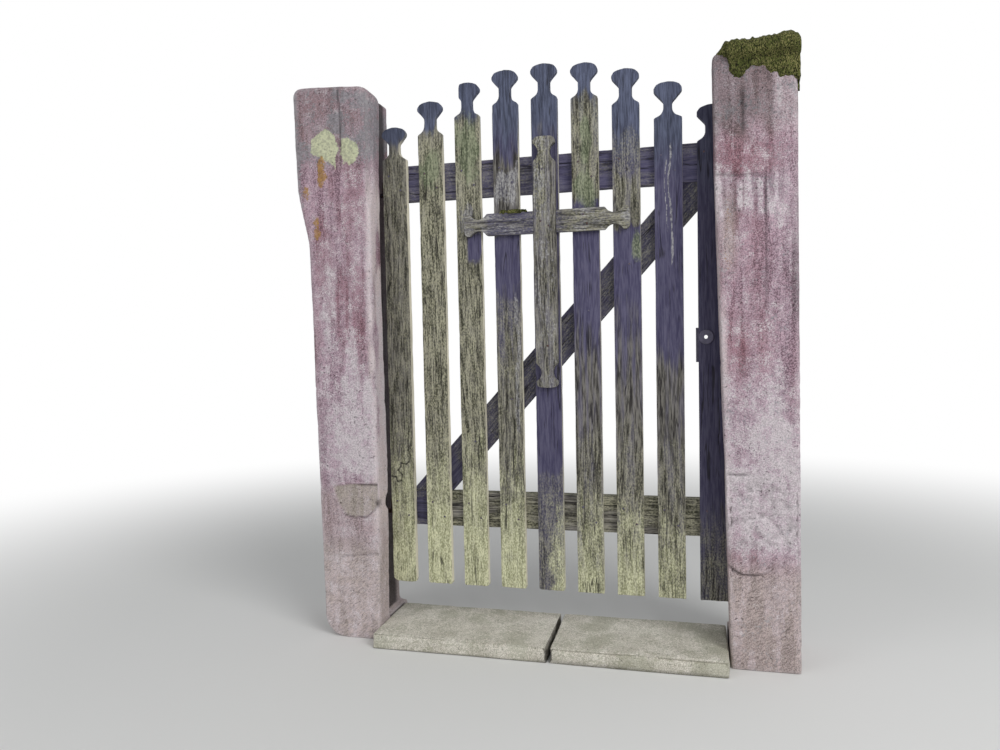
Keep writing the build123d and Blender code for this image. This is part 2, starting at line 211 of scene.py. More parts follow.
def noise(points, size, seed=0):
    """Smooth noise from 0 to 1, with lumps of the given size, which may differ along the three axes."""
    place = points / np.asarray(size, float)
    cell = np.floor(place).astype(np.int64)
    part = place - cell
    part = part * part * (3 - 2 * part)
    total = np.zeros(len(points))
    for corner in range(8):
        step = np.array([corner & 1, corner >> 1 & 1, corner >> 2 & 1])
        weight = np.prod(np.where(step, part, 1 - part), axis=1)
        total += weight * lattice(*(cell + step).T, seed)
    return total


def layered(points, size, seed=0, layers=3):
    """Noise from 0 to 1 in several layers, each half as large and half as strong as the one before."""
    size = np.asarray(size, float)
    total = sum(noise(points, size / 2**i, seed + i) / 2**i for i in range(layers))
    return total / sum(1 / 2**i for i in range(layers))


def line_noise(values, size, seed):
    """Noise along a line."""
    return noise(np.stack([values, values * 0, values * 0], 1), size, seed)


def ease(value, low, high):
    """0 below low, 1 above high and smooth between, or the other way round where low is above high."""
    part = np.clip((value - low) / (high - low), 0, 1)
    return part * part * (3 - 2 * part)


def within(value, low, high, soft):
    """1 between low and high, fading to 0 over the soft width at each end."""
    return ease(value, low - soft, low + soft) * ease(value, high + soft, high - soft)


def groove(value, width):
    """1 in the middle of a groove, falling off to 0 at about twice its width."""
    return np.exp(-((value / width) ** 2))


# Meshes and pieces


def box_grid(nx, ny, nz):
    """The lattice points on the skin of a box of cells, their numbers by place, and quads facing outwards."""
    i, j, k = np.meshgrid(np.arange(nx + 1), np.arange(ny + 1), np.arange(nz + 1), indexing="ij")
    skin = (i == 0) | (i == nx) | (j == 0) | (j == ny) | (k == 0) | (k == nz)
    index = np.full(skin.shape, -1)
    index[skin] = np.arange(skin.sum())

    def side(sheet, turned):
        quads = np.stack([sheet[:-1, :-1], sheet[1:, :-1], sheet[1:, 1:], sheet[:-1, 1:]], -1).reshape(-1, 4)
        return quads[:, ::-1] if turned else quads

    ends = [side(index[0], True), side(index[-1], False)]
    ends += [side(index[:, 0], False), side(index[:, -1], True)]
    ends += [side(index[:, :, 0], True), side(index[:, :, -1], False)]
    return np.stack([i[skin], j[skin], k[skin]], 1), index, np.concatenate(ends)


def mark_mesh(mesh, marks):
    """Stores a number or a vector for each point of a mesh, for its material to read."""
    for name, values in marks.items():
        vector = values.ndim == 2
        layer = mesh.attributes.new(name, "FLOAT_VECTOR" if vector else "FLOAT", "POINT")
        layer.data.foreach_set("vector" if vector else "value", values.astype(np.float32).ravel())


def new_object(name, data):
    """An object at the origin, linked to the scene."""
    made = bpy.data.objects.new(name, data)
    bpy.context.scene.collection.objects.link(made)
    return made


def show(mesh, body, slot, material, *nodes):
    """A new piece at the origin that moves with a body, and stands for the nodes it replaces."""
    mesh.materials.append(material)
    mesh.shade_smooth()
    piece = new_object(mesh.name, mesh)
    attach(piece, body)
    if nodes:
        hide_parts(*nodes)


def mesh_from(name, points, faces):
    """A mesh from points in millimetres."""
    mesh = bpy.data.meshes.new(name)
    mesh.from_pydata((np.asarray(points) * MM).tolist(), [], [list(face) for face in faces])
    return mesh


def box_mm(node):
    """Lowest and highest corner of a node in millimetres."""
    low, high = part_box(node)
    return np.array(low) / MM, np.array(high) / MM


# Boards


def steps_over(length, step):
    """Places from 0 to length, close together at both ends and about step apart between."""
    near = np.array(ARRIS_STEPS[:-1])
    start = ARRIS_STEPS[-1]
    count = max(1, round((length - 2 * start) / step))
    return np.concatenate([near, np.linspace(start, length - start, count + 1), length - near[::-1]])


def smoothed(values, window):
    """A running mean, which rounds the corners of an outline."""
    return np.convolve(np.pad(values, window // 2, mode="edge"), np.ones(window) / window, "valid")


class Board:
    """A board in its own frame, in millimetres: x across the grain, y in from its front, z along it."""

    low_zone = 30
    high_zone = 30
    hole = None

    def __init__(self, name, width, thickness, length, place, seed, worn=1.0):
        self.name = name
        self.width = width
        self.thickness = thickness
        self.length = length
        self.place = place
        self.seed = seed
        self.worn = worn
        self.splits = []
        self.crack = []

    def fine_rows(self):
        return []

    def sides(self, row):
        """Where the left and the right side of the board are, at a place along it."""
        half = np.full(row.shape, self.width / 2)
        return -half, half

    def low_end(self, across):
        return np.zeros(across.shape)

    def high_end(self, across):
        return np.full(across.shape, float(self.length))

    def front(self, row):
        return np.zeros(row.shape)

    def back(self, row):
        return np.full(row.shape, float(self.thickness))

    def arris_radius(self, point, wear):
        """Worn radius at each point, larger in places and much larger where the arris has broken."""
        corner = np.sign(point[:, 0]) * 210 + np.sign(point[:, 1] - self.thickness / 2) * 330
        place = np.stack([corner, corner * 0.7, point[:, 2]], 1)
        radius = wear * (0.5 + noise(place, (1, 1, 70), self.seed))
        broken = ease(noise(place, (1, 1, 26), self.seed + 5), 0.76, 0.96) * self.worn
        return np.minimum(radius * self.worn + 2.4 * broken, LARGEST_ARRIS * self.thickness)

    def grain_depth(self, point, relief):
        """Depth of the furrows: long ridges that wander a little across the board."""
        wander = 14 * (noise(point, (60, 60, 420), self.seed + 11) - 0.5)
        place = point + np.stack([wander, wander, np.zeros(len(wander))], 1)
        fine = noise(place, (3.6, 3.6, 210), self.seed + 12)
        wide = noise(place, (9, 9, 330), self.seed + 13)
        ridges = 0.65 * fine + 0.6 * wide
        dents = ease(layered(point, (26, 26, 60), self.seed + 14, 2), 0.55, 0.85)
        return relief * self.worn * (ridges + 0.9 * dents)

    def split_depth(self, point):
        """Depth of the drying splits, wandering lines along the grain, and of the cracks; the same number
        darkens them as painted shade.
        """
        depth = np.zeros(len(point))
        for number, (across, start, end, width, sway) in enumerate(self.splits):
            wander = sway * (noise(point, (500, 500, 40), self.seed + 31 + number) - 0.5)
            depth += groove(point[:, 0] - across - wander, width) * within(point[:, 2], start, end, 18)
        front = point[:, 1] < self.thickness / 2
        for start, end in zip(self.crack, self.crack[1:]):
            depth += front * groove(self.distance(point, start, end), CRACK_WIDTH)
        return np.clip(depth, 0, 1)

    @staticmethod
    def distance(point, start, end):
        """How far each point lies from a straight stretch on the face of the board."""
        face = point[:, [0, 2]] - np.asarray(start, float)
        run = np.subtract(end, start).astype(float)
        part = np.clip(face @ run / max(run @ run, 1e-6), 0, 1)
        return np.linalg.norm(face - part[:, None] * run, axis=1)

    def surface(self, settings):
        """Points in millimetres in the board's frame, the way out at each, the quads and the splits."""
        columns = steps_over(self.width, COLUMN_STEP) / self.width
        layers = steps_over(self.thickness, LAYER_STEP) / self.thickness
        rows = np.unique(np.concatenate([steps_over(self.length, ROW_STEP), *self.fine_rows()]).round(2))
        cells, index, quads = box_grid(len(columns) - 1, len(layers) - 1, len(rows) - 1)
        row = rows[cells[:, 2]]
        left, right = self.sides(row)
        across = left + columns[cells[:, 0]] * (right - left)
        low, high = self.low_end(across), self.high_end(across)
        along = row + low * (1 - np.clip(row / self.low_zone, 0, 1))
        along += (high - self.length) * np.clip(1 - (self.length - row) / self.high_zone, 0, 1)
        front, back = self.front(row), self.back(row)
        point = np.stack([across, front + layers[cells[:, 1]] * (back - front), along], 1)
        radius = self.arris_radius(point, settings.wear / MM)
        radius = np.minimum(radius, LARGEST_ARRIS * (back - front))[:, None]
        lowest, highest = np.stack([left, front, low], 1), np.stack([right, back, high], 1)
        core = np.clip(point, lowest + radius, highest - radius)
        reach = point - core
        outward = reach / np.maximum(np.linalg.norm(reach, axis=1), 1e-6)[:, None]
        point = core + outward * radius
        split = self.split_depth(point)
        depth = self.grain_depth(point, settings.relief / MM) + SPLIT_DEPTH * split
        point = point - outward * depth[:, None]
        if self.hole:
            point, outward, split, quads = self.bored(point, outward, split, quads, index, columns, rows)
        return point, outward, split, quads

    def bored(self, point, outward, split, quads, index, columns, rows):
        """Cuts a round hole through the board, joined to the mesh around it by rings of quads."""
        across, along, radius = self.hole
        left = self.width * (columns - 0.5)
        near_i = np.flatnonzero(np.abs(left - across) < radius + 5)
        near_k = np.flatnonzero(np.abs(rows - along) < radius + 5)
        i0, i1, k0, k1 = near_i[0], near_i[-1], near_k[0], near_k[-1]
        loop = [(i, k0) for i in range(i0, i1)] + [(i1, k) for k in range(k0, k1)]
        loop += [(i, k1) for i in range(i1, i0, -1)] + [(i0, k) for k in range(k1, k0, -1)]
        front = np.array([index[i, 0, k] for i, k in loop])
        back = np.array([index[i, -1, k] for i, k in loop])
        block = np.concatenate([index[i0 : i1 + 1, side, k0 : k1 + 1].ravel() for side in (0, -1)])
        quads = quads[~np.isin(quads, block).all(1)]
        turn = np.arctan2(point[front, 2] - along, point[front, 0] - across)
        rings = []
        for level in np.linspace(0.6, self.thickness - 0.6, 5):
            inward = np.stack([-np.cos(turn), turn * 0, -np.sin(turn)], 1)
            circle = np.array([across, level, along]) - radius * inward
            rings.append(np.arange(len(loop)) + len(point))
            point, outward = np.concatenate([point, circle]), np.concatenate([outward, inward])
            split = np.concatenate([split, turn * 0])
        rings = [front, *rings, back]
        for near, far in zip(rings, rings[1:]):
            band = np.stack([near, np.roll(near, -1), np.roll(far, -1), far], 1)
            quads = np.concatenate([quads, band])
        used, compact = np.unique(quads, return_inverse=True)
        return point[used], outward[used], split[used], compact.reshape(quads.shape)

    def mesh(self, settings, finish):
        point, outward, split, quads = self.surface(settings)
        marks = {
            "board": (point + np.array([0, 0, self.seed * 370.0])) * MM,
            "arris": np.clip((1 - np.abs(outward).max(1)) / 0.29, 0, 1),
            "split": split,
        }
        marks.update(finish(self, point, outward))
        world = np.array(self.place)
        mesh = mesh_from(self.name, point @ world[:3, :3].T + world[:3, 3], quads)
        mark_mesh(mesh, marks)
        return mesh


# Half of each picket's neck, and how far from the middle the broken knob's left side still stands
NECK_HALVES = (20.5, 22.5, 20.5, 21.5, 22, 21.5, 22.5, 15, 20.5)
BROKEN_KNOB_PICKET = 3
BROKEN_KNOB_LEFT = 29.5


class Picket(Board):
    """A picket with its knob, neck, coves and shoulders"""

    high_zone = KNOB_HEIGHT

    def __init__(self, number, seed, worn):
        low, high = box_mm(f"picket_{number}")
        width = high[0] - low[0]
        centre = (low[0] + high[0]) / 2
        place = Matrix.Translation((centre, low[1], low[2]))
        super().__init__(f"board_{number}", width, high[1] - low[1], high[2] - low[2], place, seed, worn)
        self.number = number
        half = width / 2
        self.crown_radius = (half**2 + CROWN_DROP**2) / (2 * CROWN_DROP)
        neck_half = NECK_HALVES[number - 1]
        side = half - neck_half
        self.heights = np.arange(self.length - SHOULDER - 20, self.length + 0.5, 0.5)
        below = self.length - self.heights
        underside = half - np.clip((below - KNOB_HEIGHT) / KNOB_SLOPE, 0, side)
        cove_height = SHOULDER - NECK_FOOT
        cove_radius = (side**2 + cove_height**2) / (2 * side)
        into_cove = np.clip(below - NECK_FOOT, 0, cove_height)
        cove = neck_half + cove_radius - np.sqrt(cove_radius**2 - into_cove**2)
        outline = np.where(below < NECK_FOOT, underside, np.where(below < SHOULDER, cove, half))
        turn_in = CROWN_TURN_IN * np.clip(1 - below / CROWN_TURN_HEIGHT, 0, 1) ** 1.8
        self.right = smoothed(outline, 19) - turn_in
        self.left = self.right
        if number == BROKEN_KNOB_PICKET:
            broken = np.where(below < NECK_FOOT, np.minimum(outline, BROKEN_KNOB_LEFT), outline)
            self.left = smoothed(broken, 19) - turn_in / 3

    def fine_rows(self):
        rows = [np.arange(self.length - SHOULDER - 8, self.length - 8, HEAD_STEP)]
        if self.hole:
            rows.append(np.arange(self.hole[1] - 24, self.hole[1] + 24, COLUMN_STEP))
        if self.crack:
            heights = [height for _, height in self.crack]
            rows.append(np.arange(min(heights) - 6, max(heights) + 6, HEAD_STEP))
        return rows

    def sides(self, row):
        return -np.interp(row, self.heights, self.left), np.interp(row, self.heights, self.right)

    def low_end(self, across):
        end = 1.6 * self.worn * line_noise(across, 9, self.seed + 41)
        worn_radius = WORN_FOOT_RADIUS if self.number <= WORN_FEET else SAWN_FOOT_RADIUS
        for way, radius in ((-1, HINGE_CORNER_RADIUS if self.number == 1 else worn_radius), (1, worn_radius)):
            inset = np.clip(radius - self.width / 2 + way * across, 0, radius)
            end += radius - np.sqrt(radius**2 - inset**2)
        return end

    def high_end(self, across):
        drop = self.crown_radius - np.sqrt(self.crown_radius**2 - across**2)
        return self.length - drop - 1.2 * line_noise(across, 12, self.seed + 43)


class KnobbedBoard(Board):
    """A board of the cross, with a knob and round notches at each end, halved where it meets the other"""

    low_zone = 26
    high_zone = 26

    def __init__(self, name, width, thickness, length, place, seed, halving, front_part):
        super().__init__(name, width, thickness, length, place, seed, 1.1)
        self.halving = halving
        self.front_part = front_part
        half = width / 2
        side = half - END_NECK_HALF
        reach = END_NOTCH_LENGTH / 2
        radius = (reach**2 + side**2) / (2 * side)
        self.from_end = np.arange(0, END_KNOB_LENGTH + END_NOTCH_LENGTH + 20, 0.5)
        off = np.abs(self.from_end - END_KNOB_LENGTH - reach)
        cut = np.maximum(np.sqrt(np.maximum(radius**2 - off**2, 0)) - (radius - side), 0)
        self.outline = smoothed(half - np.where(off < reach, cut, 0), 15)

    def fine_rows(self):
        step = 0.2
        notches = np.arange(16, END_KNOB_LENGTH + END_NOTCH_LENGTH + 6, HEAD_STEP)
        low, high = self.halving
        return [notches, self.length - notches, np.array([low - step, low + step, high - step, high + step])]

    def sides(self, row):
        half = np.interp(np.minimum(row, self.length - row), self.from_end, self.outline)
        return -half, half

    def end_drop(self, across):
        inset = np.clip(np.abs(across) - self.width / 2 + END_CORNER_RADIUS, 0, END_CORNER_RADIUS)
        round_end = END_CORNER_RADIUS - np.sqrt(END_CORNER_RADIUS**2 - inset**2)
        return round_end + 0.0022 * across**2 + 2.0 * line_noise(across, 14, self.seed + 45)

    def low_end(self, across):
        return self.end_drop(across)

    def high_end(self, across):
        return self.length - self.end_drop(-across)

    def crossed(self, row):
        return (row > self.halving[0]) & (row < self.halving[1])

    def front(self, row):
        return np.where(self.crossed(row) & (not self.front_part), self.thickness / 2, 0.0)

    def back(self, row):
        return np.where(self.crossed(row) & self.front_part, self.thickness / 2, float(self.thickness))


class Brace(Board):
    """The brace, with its ends cut level"""

    low_zone = 130
    high_zone = 130

    def __init__(self, name, width, thickness, length, place, seed, slope):
        super().__init__(name, width, thickness, length, place, seed)
        self.slope = slope

    def low_end(self, across):
        return (self.width / 2 + across) * self.slope

    def high_end(self, across):
        return self.length - (self.width / 2 - across) * self.slope


# What grows on the pickets and what is left of their stain, from the hinge side: how much stain the
# board keeps below its head, the height above which the head keeps it all, how far down that fades, how
# much of it the sun has bleached, the algae with the span that they cover, those of the foot with their
# height, the pale bloom with the height that it reaches and the side that it starts from, how light the
# sawn side is, how worn the board is, and how bright its stain and its bare grain are. Heights are over
# the board's foot.
PICKET_WEATHER = (
    dict(
        stain=0.15, head=1640, algae=0.26, span=(-200, 1600), low=(0.6, 320), bloom=0.85, top=330,
        bare=0.95, worn=1.2, shades=(0.8, 0.68),
    ),
    dict(
        stain=0.0, head=1690, algae=0.75, span=(-200, 1670), low=(0.8, 300), bloom=1.0, top=310,
        bare=0.95, worn=1.2, shades=(1, 0.95),
    ),
    dict(
        stain=0.05, head=1700, algae=0.65, span=(-200, 1700), low=(0.8, 300), bloom=1.0, top=330,
        bare=0.9, worn=1.15, shades=(1, 0.95),
    ),
    dict(
        stain=0.2, head=1560, algae=0.3, span=(-200, 1050), low=(0.45, 350), bloom=0.95, top=250,
        bare=0.85, worn=1.1, shades=(0.95, 0.8),
    ),
    dict(
        stain=0.75, head=1640, algae=0.1, span=(-200, 500), low=(0.45, 300), bloom=1.0, top=110, lean=0.1,
        bare=0.5, worn=1.0, shades=(0.93, 0.9),
    ),
    dict(
        stain=0.35, head=1760, algae=0.5, span=(1360, 1740), low=(0.55, 420), bloom=0.85, top=130,
        bare=0.4, worn=0.95, shades=(1.0, 0.8),
    ),
    dict(
        stain=0.3, head=1480, algae=0.3, span=(1300, 1600), low=(0.6, 420), bloom=0.85, top=110,
        bare=0.4, worn=0.9, shades=(1.0, 0.8),
    ),
    dict(
        stain=0.3, head=910, fade=240, algae=0.2, span=(-200, 560), low=(0.5, 380), bloom=0.75, top=70,
        bare=0.3, worn=0.8, shades=(0.92, 0.72),
    ),
    # The last picket's stain, bare grain and faded head are darkened: painted shade beside the latch post
    dict(
        stain=0.7, head=300, faded=0.4, algae=0.05, span=(-200, 300), low=(0.4, 120), bloom=0.0, top=100,
        bare=0.2, worn=0.7, shades=(0.68, 0.72),
    ),
)

# Stretches that the cross shelters, where the stain has stayed: picket, lowest and highest point over
# its foot, and the side of the board, from -1 to 1, that the shelter starts from
SHELTERS = (
    (3, 1200, 1300, -0.2),
    (4, 1110, 1300, -1.4),
    (5, 430, 760, -1.4),
    (6, 1030, 1300, -1.4),
    (6, 1345, 1385, -1.4),
    (7, 1040, 1300, -1.4),
)

# How far below a shelter the stain fades out
SHELTER_FADE = 460

# Pale lichen and scratches: picket, the place across it, lowest and highest point over its foot, half
# its width, how far it wanders and its strength
PALE_MARKS = (
    (4, 0, 1405, 1530, 40, 8, 0.62),
    (8, 4, 1180, 1560, 2.6, 16, 1.0),
    (8, -9, 1270, 1500, 1.6, 12, 0.8),
    (9, 22, 1570, 1660, 2.2, 20, 0.7),
    (3, -12, 1290, 1400, 30, 10, 0.45),
    (4, 32, 560, 1080, 7, 10, 0.5),
)

# Mossy green patches: picket, place across, height over its foot, half width and half height
GREEN_MARKS = (
    (2, 0, 1545, 50, 80),
    (3, 0, 1600, 50, 110),
    (6, 4, 1610, 26, 90),
    (6, 0, 1430, 40, 80),
    (7, 36, 1225, 24, 62),
)

# Splits: place across the board, where it starts and ends along it, its width and how far it wanders
PICKET_SPLITS = {
    1: [(-30, 1180, 1420, 1.6, 9)],
    2: [(23, 620, 900, 1.4, 9), (-8, 1250, 1420, 1.2, 9)],
    3: [(-12, 240, 460, 1.3, 9), (20, 860, 1100, 1.3, 9)],
    4: [(10, 380, 630, 1.8, 9), (-18, 520, 760, 1.7, 9), (26, 430, 700, 1.4, 6)],
    5: [(-6, 700, 960, 1.5, 9)],
    6: [(14, 420, 700, 1.5, 9), (-22, 160, 400, 1.4, 9)],
    7: [(-10, 560, 760, 1.6, 14)],
    8: [(-20, 200, 430, 1.4, 9)],
    9: [(20, 500, 700, 1.3, 9)],
}

# The crooked crack over the foot of the first picket and the knot of the seventh, across and along the board
PICKET_CRACKS = {
    1: [
        (29, 520), (24, 506), (33, 486), (26, 460), (15, 451), (-6, 456), (-7, 442), (-19, 428), (-2, 411),
        (-6, 387), (-23, 385), (-26, 402), (-43, 404),
    ],
    7: [(0, 1496), (4, 1492), (1, 1488)],
}


def picket_finish(board, point, outward):
    """How much stain, algae, bloom, pale lichen and bare wood each point of a picket shows."""
    weather = PICKET_WEATHER[board.number - 1]
    side = point[:, 0] / (board.width / 2)
    height = point[:, 2] + 44 * (layered(point, (24, 24, 90), board.seed + 51, 2) - 0.5) * 2
    head = weather["head"]
    stain = np.maximum(weather["stain"], ease(height, head - weather.get("fade", 60), head + 60))
    back = ease(outward[:, 1], 0.2, 0.7)
    stain = np.maximum(stain, 0.75 * back)
    algae = weather["algae"] * within(height, *weather["span"], 40)
    low_algae, low_height = weather["low"]
    algae = np.maximum(algae, low_algae * ease(height, low_height + 260, low_height - 160))
    for number, low, high, start in SHELTERS:
        if number == board.number:
            inside = within(height, low, high, 18)
            if start > -1:
                inside = inside * ease(side, start - 0.15, start + 0.15)
            fade = np.clip((height - low) / SHELTER_FADE + 1, 0, 1) * (height < high) * (start < -1)
            stain = np.maximum(stain, np.maximum(inside, 0.8 * fade))
            algae = algae * (1 - inside)
    moss = np.zeros(len(point))
    for number, across, along, half_width, half_height in GREEN_MARKS:
        if number == board.number:
            away = np.hypot((point[:, 0] - across) / half_width, (point[:, 2] - along) / half_height)
            away += 0.5 * (layered(point, (22, 22, 50), board.seed + 57, 2) - 0.5) * 2
            moss = np.maximum(moss, ease(away, 1.1, 0.6))
    fringe = 130 * (noise(point, (7, 7, 120), board.seed + 58) - 0.5)
    bloom = weather["bloom"] * ease(height + fringe, weather["top"] + 300, weather["top"] - 260)
    lean = weather.get("lean", -2) + 0.6 * (noise(point, (900, 900, 40), board.seed + 60) - 0.5)
    bloom = bloom * ease(side, lean - 0.2, lean + 0.2)
    crust = np.zeros(len(point))
    for number, across, low, high, half_width, sway, strength in PALE_MARKS:
        if number == board.number:
            wander = sway * (noise(point, (900, 900, 110), board.seed + 59) - 0.5)
            away = np.abs(point[:, 0] - across - wander) / half_width
            crust = np.maximum(crust, strength * ease(away, 1.3, 0.7) * within(height, low, high, 16))
    bare = weather["bare"] * ease(outward[:, 0], 0.5, 0.85) * ease(height, 1740, 1560)
    front = 1 - 0.6 * back
    faded = 0.95 * ease(height, board.length - 340, board.length - 170) * (1 - back)
    return {
        "stain": stain,
        "faded": faded * weather.get("faded", 1),
        "algae": algae * front,
        "moss": moss * front,
        "bloom": bloom * (1 - 0.5 * back),
        "crust": crust * (1 - back),
        "bare": bare,
    }


def bare_finish(point, **given):
    """Every mark of a board, 0 where it isn't given."""
    names = ("stain", "faded", "algae", "moss", "bloom", "crust", "bare")
    return {name: np.zeros(len(point)) + given.get(name, 0) for name in names}


# Where along the bottom rail its stain has worn away, and how far it is whole
LOW_RAIL_STAIN = (165, 145)


def rail_finish(board, point, outward):
    """The brace and the top rail keep their stain. The bottom rail keeps it only at the hinge side."""
    upper = ease(-outward[:, 0], 0.3, 0.9)
    patches = ease(layered(point, (60, 60, 160), board.seed + 61, 2), 0.3, 0.6)
    if board.name == "bottom_rail_board":
        kept = ease(point[:, 2], *LOW_RAIL_STAIN)
        stain = 0.15 + 0.75 * kept
        algae = (0.6 * upper + 0.72 * patches) * (1 - 0.8 * kept)
    else:
        stain = 0.85
        algae = 0.6 * upper + 0.12 * patches
    return bare_finish(point, stain=stain, algae=np.clip(algae, 0, 1))


def cross_finish(board, point, outward):
    """The cross is bare grey wood with pale crust, mostly near the head and on the arm's free end."""
    stain = 0.3 + 0.3 * (layered(point, (40, 40, 120), board.seed + 62, 2) - 0.5)
    patches = layered(point, (26, 26, 60), board.seed + 64, 2)
    if board.name == "cross_arm_board":
        end = ease(point[:, 2], 310, 420)
        start = ease(point[:, 2], 110, 70)
        crust = 0.3 * ease(patches, 0.4, 0.6) + 0.25 * end + 0.25 * start
        algae = 0.1 + 0.34 * end
        stain = stain + 0.5 * (1 - end) * (1 - start)
    else:
        head = ease(point[:, 2], 560, 700) * ease(point[:, 0], 16, -10)
        crust = 0.22 + 0.2 * head
        algae = 0.1 + 0.6 * head
        stain = stain + 0.5 * ease(point[:, 0], -20, -34) * ease(point[:, 2], 560, 640)
    return bare_finish(point, stain=stain, algae=algae, crust=crust)


# Shader trees


class Tree:
    """Short ways to add nodes to one node tree and to link them"""

    def __init__(self, tree):
        self.tree = tree

    def put(self, socket, value):
        if isinstance(value, bpy.types.NodeSocket):
            self.tree.links.new(value, socket)
        elif value is not None:
            if socket.type == "RGBA" and len(value) == 3:
                value = (*value, 1)
            socket.default_value = value

    def add(self, kind, inputs, **settings):
        """A node of that kind with its settings, and its inputs set or linked by name or number."""
        node = self.tree.nodes.new(kind)
        for name, value in settings.items():
            setattr(node, name, value)
        for key, value in inputs.items():
            self.put(node.inputs[key], value)
        return node

    def math(self, operation, first, second=None, clamp=False):
        inputs = {0: first, 1: second}
        return self.add("ShaderNodeMath", inputs, operation=operation, use_clamp=clamp).outputs[0]

    def minus(self, first, second):
        return self.math("SUBTRACT", first, second)

    def times(self, first, second):
        return self.math("MULTIPLY", first, second)

    def blend(self, *parts):
        """The sum of values, each times its share."""
        total = None
        for value, share in parts:
            part = self.times(value, share)
            total = part if total is None else self.math("ADD", total, part)
        return total

    def mix(self, part, first, second):
        return self.add("ShaderNodeMix", {0: part, 6: first, 7: second}, data_type="RGBA").outputs[2]

    def tones(self, part, colour, dark, light):
        """From a darker to a lighter tone of one colour."""
        return self.mix(part, shaded(colour, dark), shaded(colour, light))

    def step(self, value, low, high):
        inputs = {0: value, 1: low, 2: high}
        return self.add("ShaderNodeMapRange", inputs, interpolation_type="SMOOTHSTEP").outputs[0]

    def noise(self, place, scale, detail=3.0, rough=0.55, stretch=None, shift=None):
        if stretch or shift:
            inputs = {0: place, 1: shift or (0, 0, 0), 3: stretch or (1, 1, 1)}
            place = self.add("ShaderNodeMapping", inputs).outputs[0]
        inputs = {"Vector": place, "Scale": scale, "Detail": detail, "Roughness": rough}
        return self.add("ShaderNodeTexNoise", inputs).outputs[0]

    def mark(self, name, vector=False):
        node = self.add("ShaderNodeAttribute", {}, attribute_name=name)
        return node.outputs["Vector" if vector else "Fac"]

    def place(self):
        return self.add("ShaderNodeTexCoord", {}).outputs["Object"]

    def group(self, group, **inputs):
        node = self.tree.nodes.new("ShaderNodeGroup")
        node.node_tree = group
        for name, value in inputs.items():
            self.put(node.inputs[name], value)
        return node.outputs

    def growth(self, place, amount, grain, softness, stretch=1.0):
        """Mask and tone of a growth, from the group for it."""
        group = effects()["growth"]
        return self.group(group, Place=place, Amount=amount, Grain=grain, Stretch=stretch, Softness=softness)


def effect(name, inputs, outputs):
    """An empty node group with named sockets: the group, its tree, what comes in and what goes out."""
    group = bpy.data.node_groups.new(name, "ShaderNodeTree")
    for socket, kind, default in inputs:
        made = group.interface.new_socket(name=socket, in_out="INPUT", socket_type=kind)
        if default is not None:
            made.default_value = default
    for socket in outputs:
        group.interface.new_socket(name=socket, in_out="OUTPUT", socket_type="NodeSocketFloat")
    inside = group.nodes.new("NodeGroupInput").outputs
    outside = group.nodes.new("NodeGroupOutput").inputs
    return group, Tree(group), inside, outside


def grain_effect():
    """Fibres, wide streaks and short cracks along a board, from the board's own coordinates."""
    group, tree, inside, outside = effect(
        "Timber Grain", [("Board", "NodeSocketVector", None)], ["Fibre", "Streak", "Crack", "Height"]
    )
    board = inside["Board"]
    bend = tree.minus(tree.noise(board, 5, 1, stretch=(1, 1, 0.4)), 0.5)
    shift = tree.add("ShaderNodeCombineXYZ", {0: tree.times(bend, 0.02), 1: 0.0, 2: 0.0}).outputs[0]
    bent = tree.add("ShaderNodeVectorMath", {0: board, 1: shift}, operation="ADD").outputs[0]
    fine = tree.noise(bent, 270, 3, 0.6, stretch=(1, 1, 0.06))
    coarse = tree.noise(bent, 135, 3, 0.65, stretch=(1, 1, 0.09), shift=(5, 5, 1))
    fibre = tree.blend((fine, 0.5), (coarse, 0.5))
    streak = tree.noise(bent, 48, 3, 0.5, stretch=(1, 1, 0.07))
    seam = tree.noise(bent, 60, 1, 0.4, stretch=(1, 1, 0.045), shift=(3, 1, 2))
    line = tree.step(tree.math("ABSOLUTE", tree.minus(seam, 0.5)), 0.026, 0.005)
    open_place = tree.step(tree.noise(bent, 14, 2, 0.5, stretch=(1, 1, 0.5), shift=(7, 2, 5)), 0.5, 0.6)
    crack = tree.times(line, open_place)
    tree.put(outside["Fibre"], tree.step(fibre, 0.43, 0.57))
    tree.put(outside["Streak"], tree.step(streak, 0.38, 0.62))
    tree.put(outside["Crack"], crack)
    tree.put(outside["Height"], tree.blend((fine, 0.35), (coarse, 0.6), (streak, 0.3), (crack, -0.8)))
    return group


def growth_effect():
    """A growth that spreads in grains: nothing at an amount of 0, a broken crust in between, closed at 1."""
    group, tree, inside, outside = effect(
        "Surface Growth",
        [
            ("Place", "NodeSocketVector", None),
            ("Amount", "NodeSocketFloat", 0.5),
            ("Grain", "NodeSocketFloat", 130.0),
            ("Stretch", "NodeSocketFloat", 0.5),
            ("Softness", "NodeSocketFloat", 0.03),
        ],
        ["Mask", "Tone"],
    )
    scale = tree.add("ShaderNodeCombineXYZ", {0: 1.0, 1: 1.0, 2: inside["Stretch"]}).outputs[0]
    place = tree.add("ShaderNodeVectorMath", {0: inside["Place"], 1: scale}, operation="MULTIPLY").outputs[0]
    fine = tree.noise(place, inside["Grain"], 3, 0.6)
    wide = tree.noise(place, tree.times(inside["Grain"], 0.12), 2, 0.6, shift=(4, 9, 2))
    both = tree.blend((fine, 0.62), (wide, 0.38))
    limit = tree.minus(0.66, tree.times(inside["Amount"], 0.36))
    soft = inside["Softness"]
    mask = tree.step(both, tree.minus(limit, soft), tree.math("ADD", limit, soft))
    mask = tree.times(mask, tree.step(inside["Amount"], 0.0, 0.1))
    tree.put(outside["Mask"], mask)
    tone_grain = tree.times(inside["Grain"], 0.9)
    tree.put(outside["Tone"], tree.step(tree.noise(place, tone_grain, 2, shift=(1, 1, 8)), 0.38, 0.62))
    return group


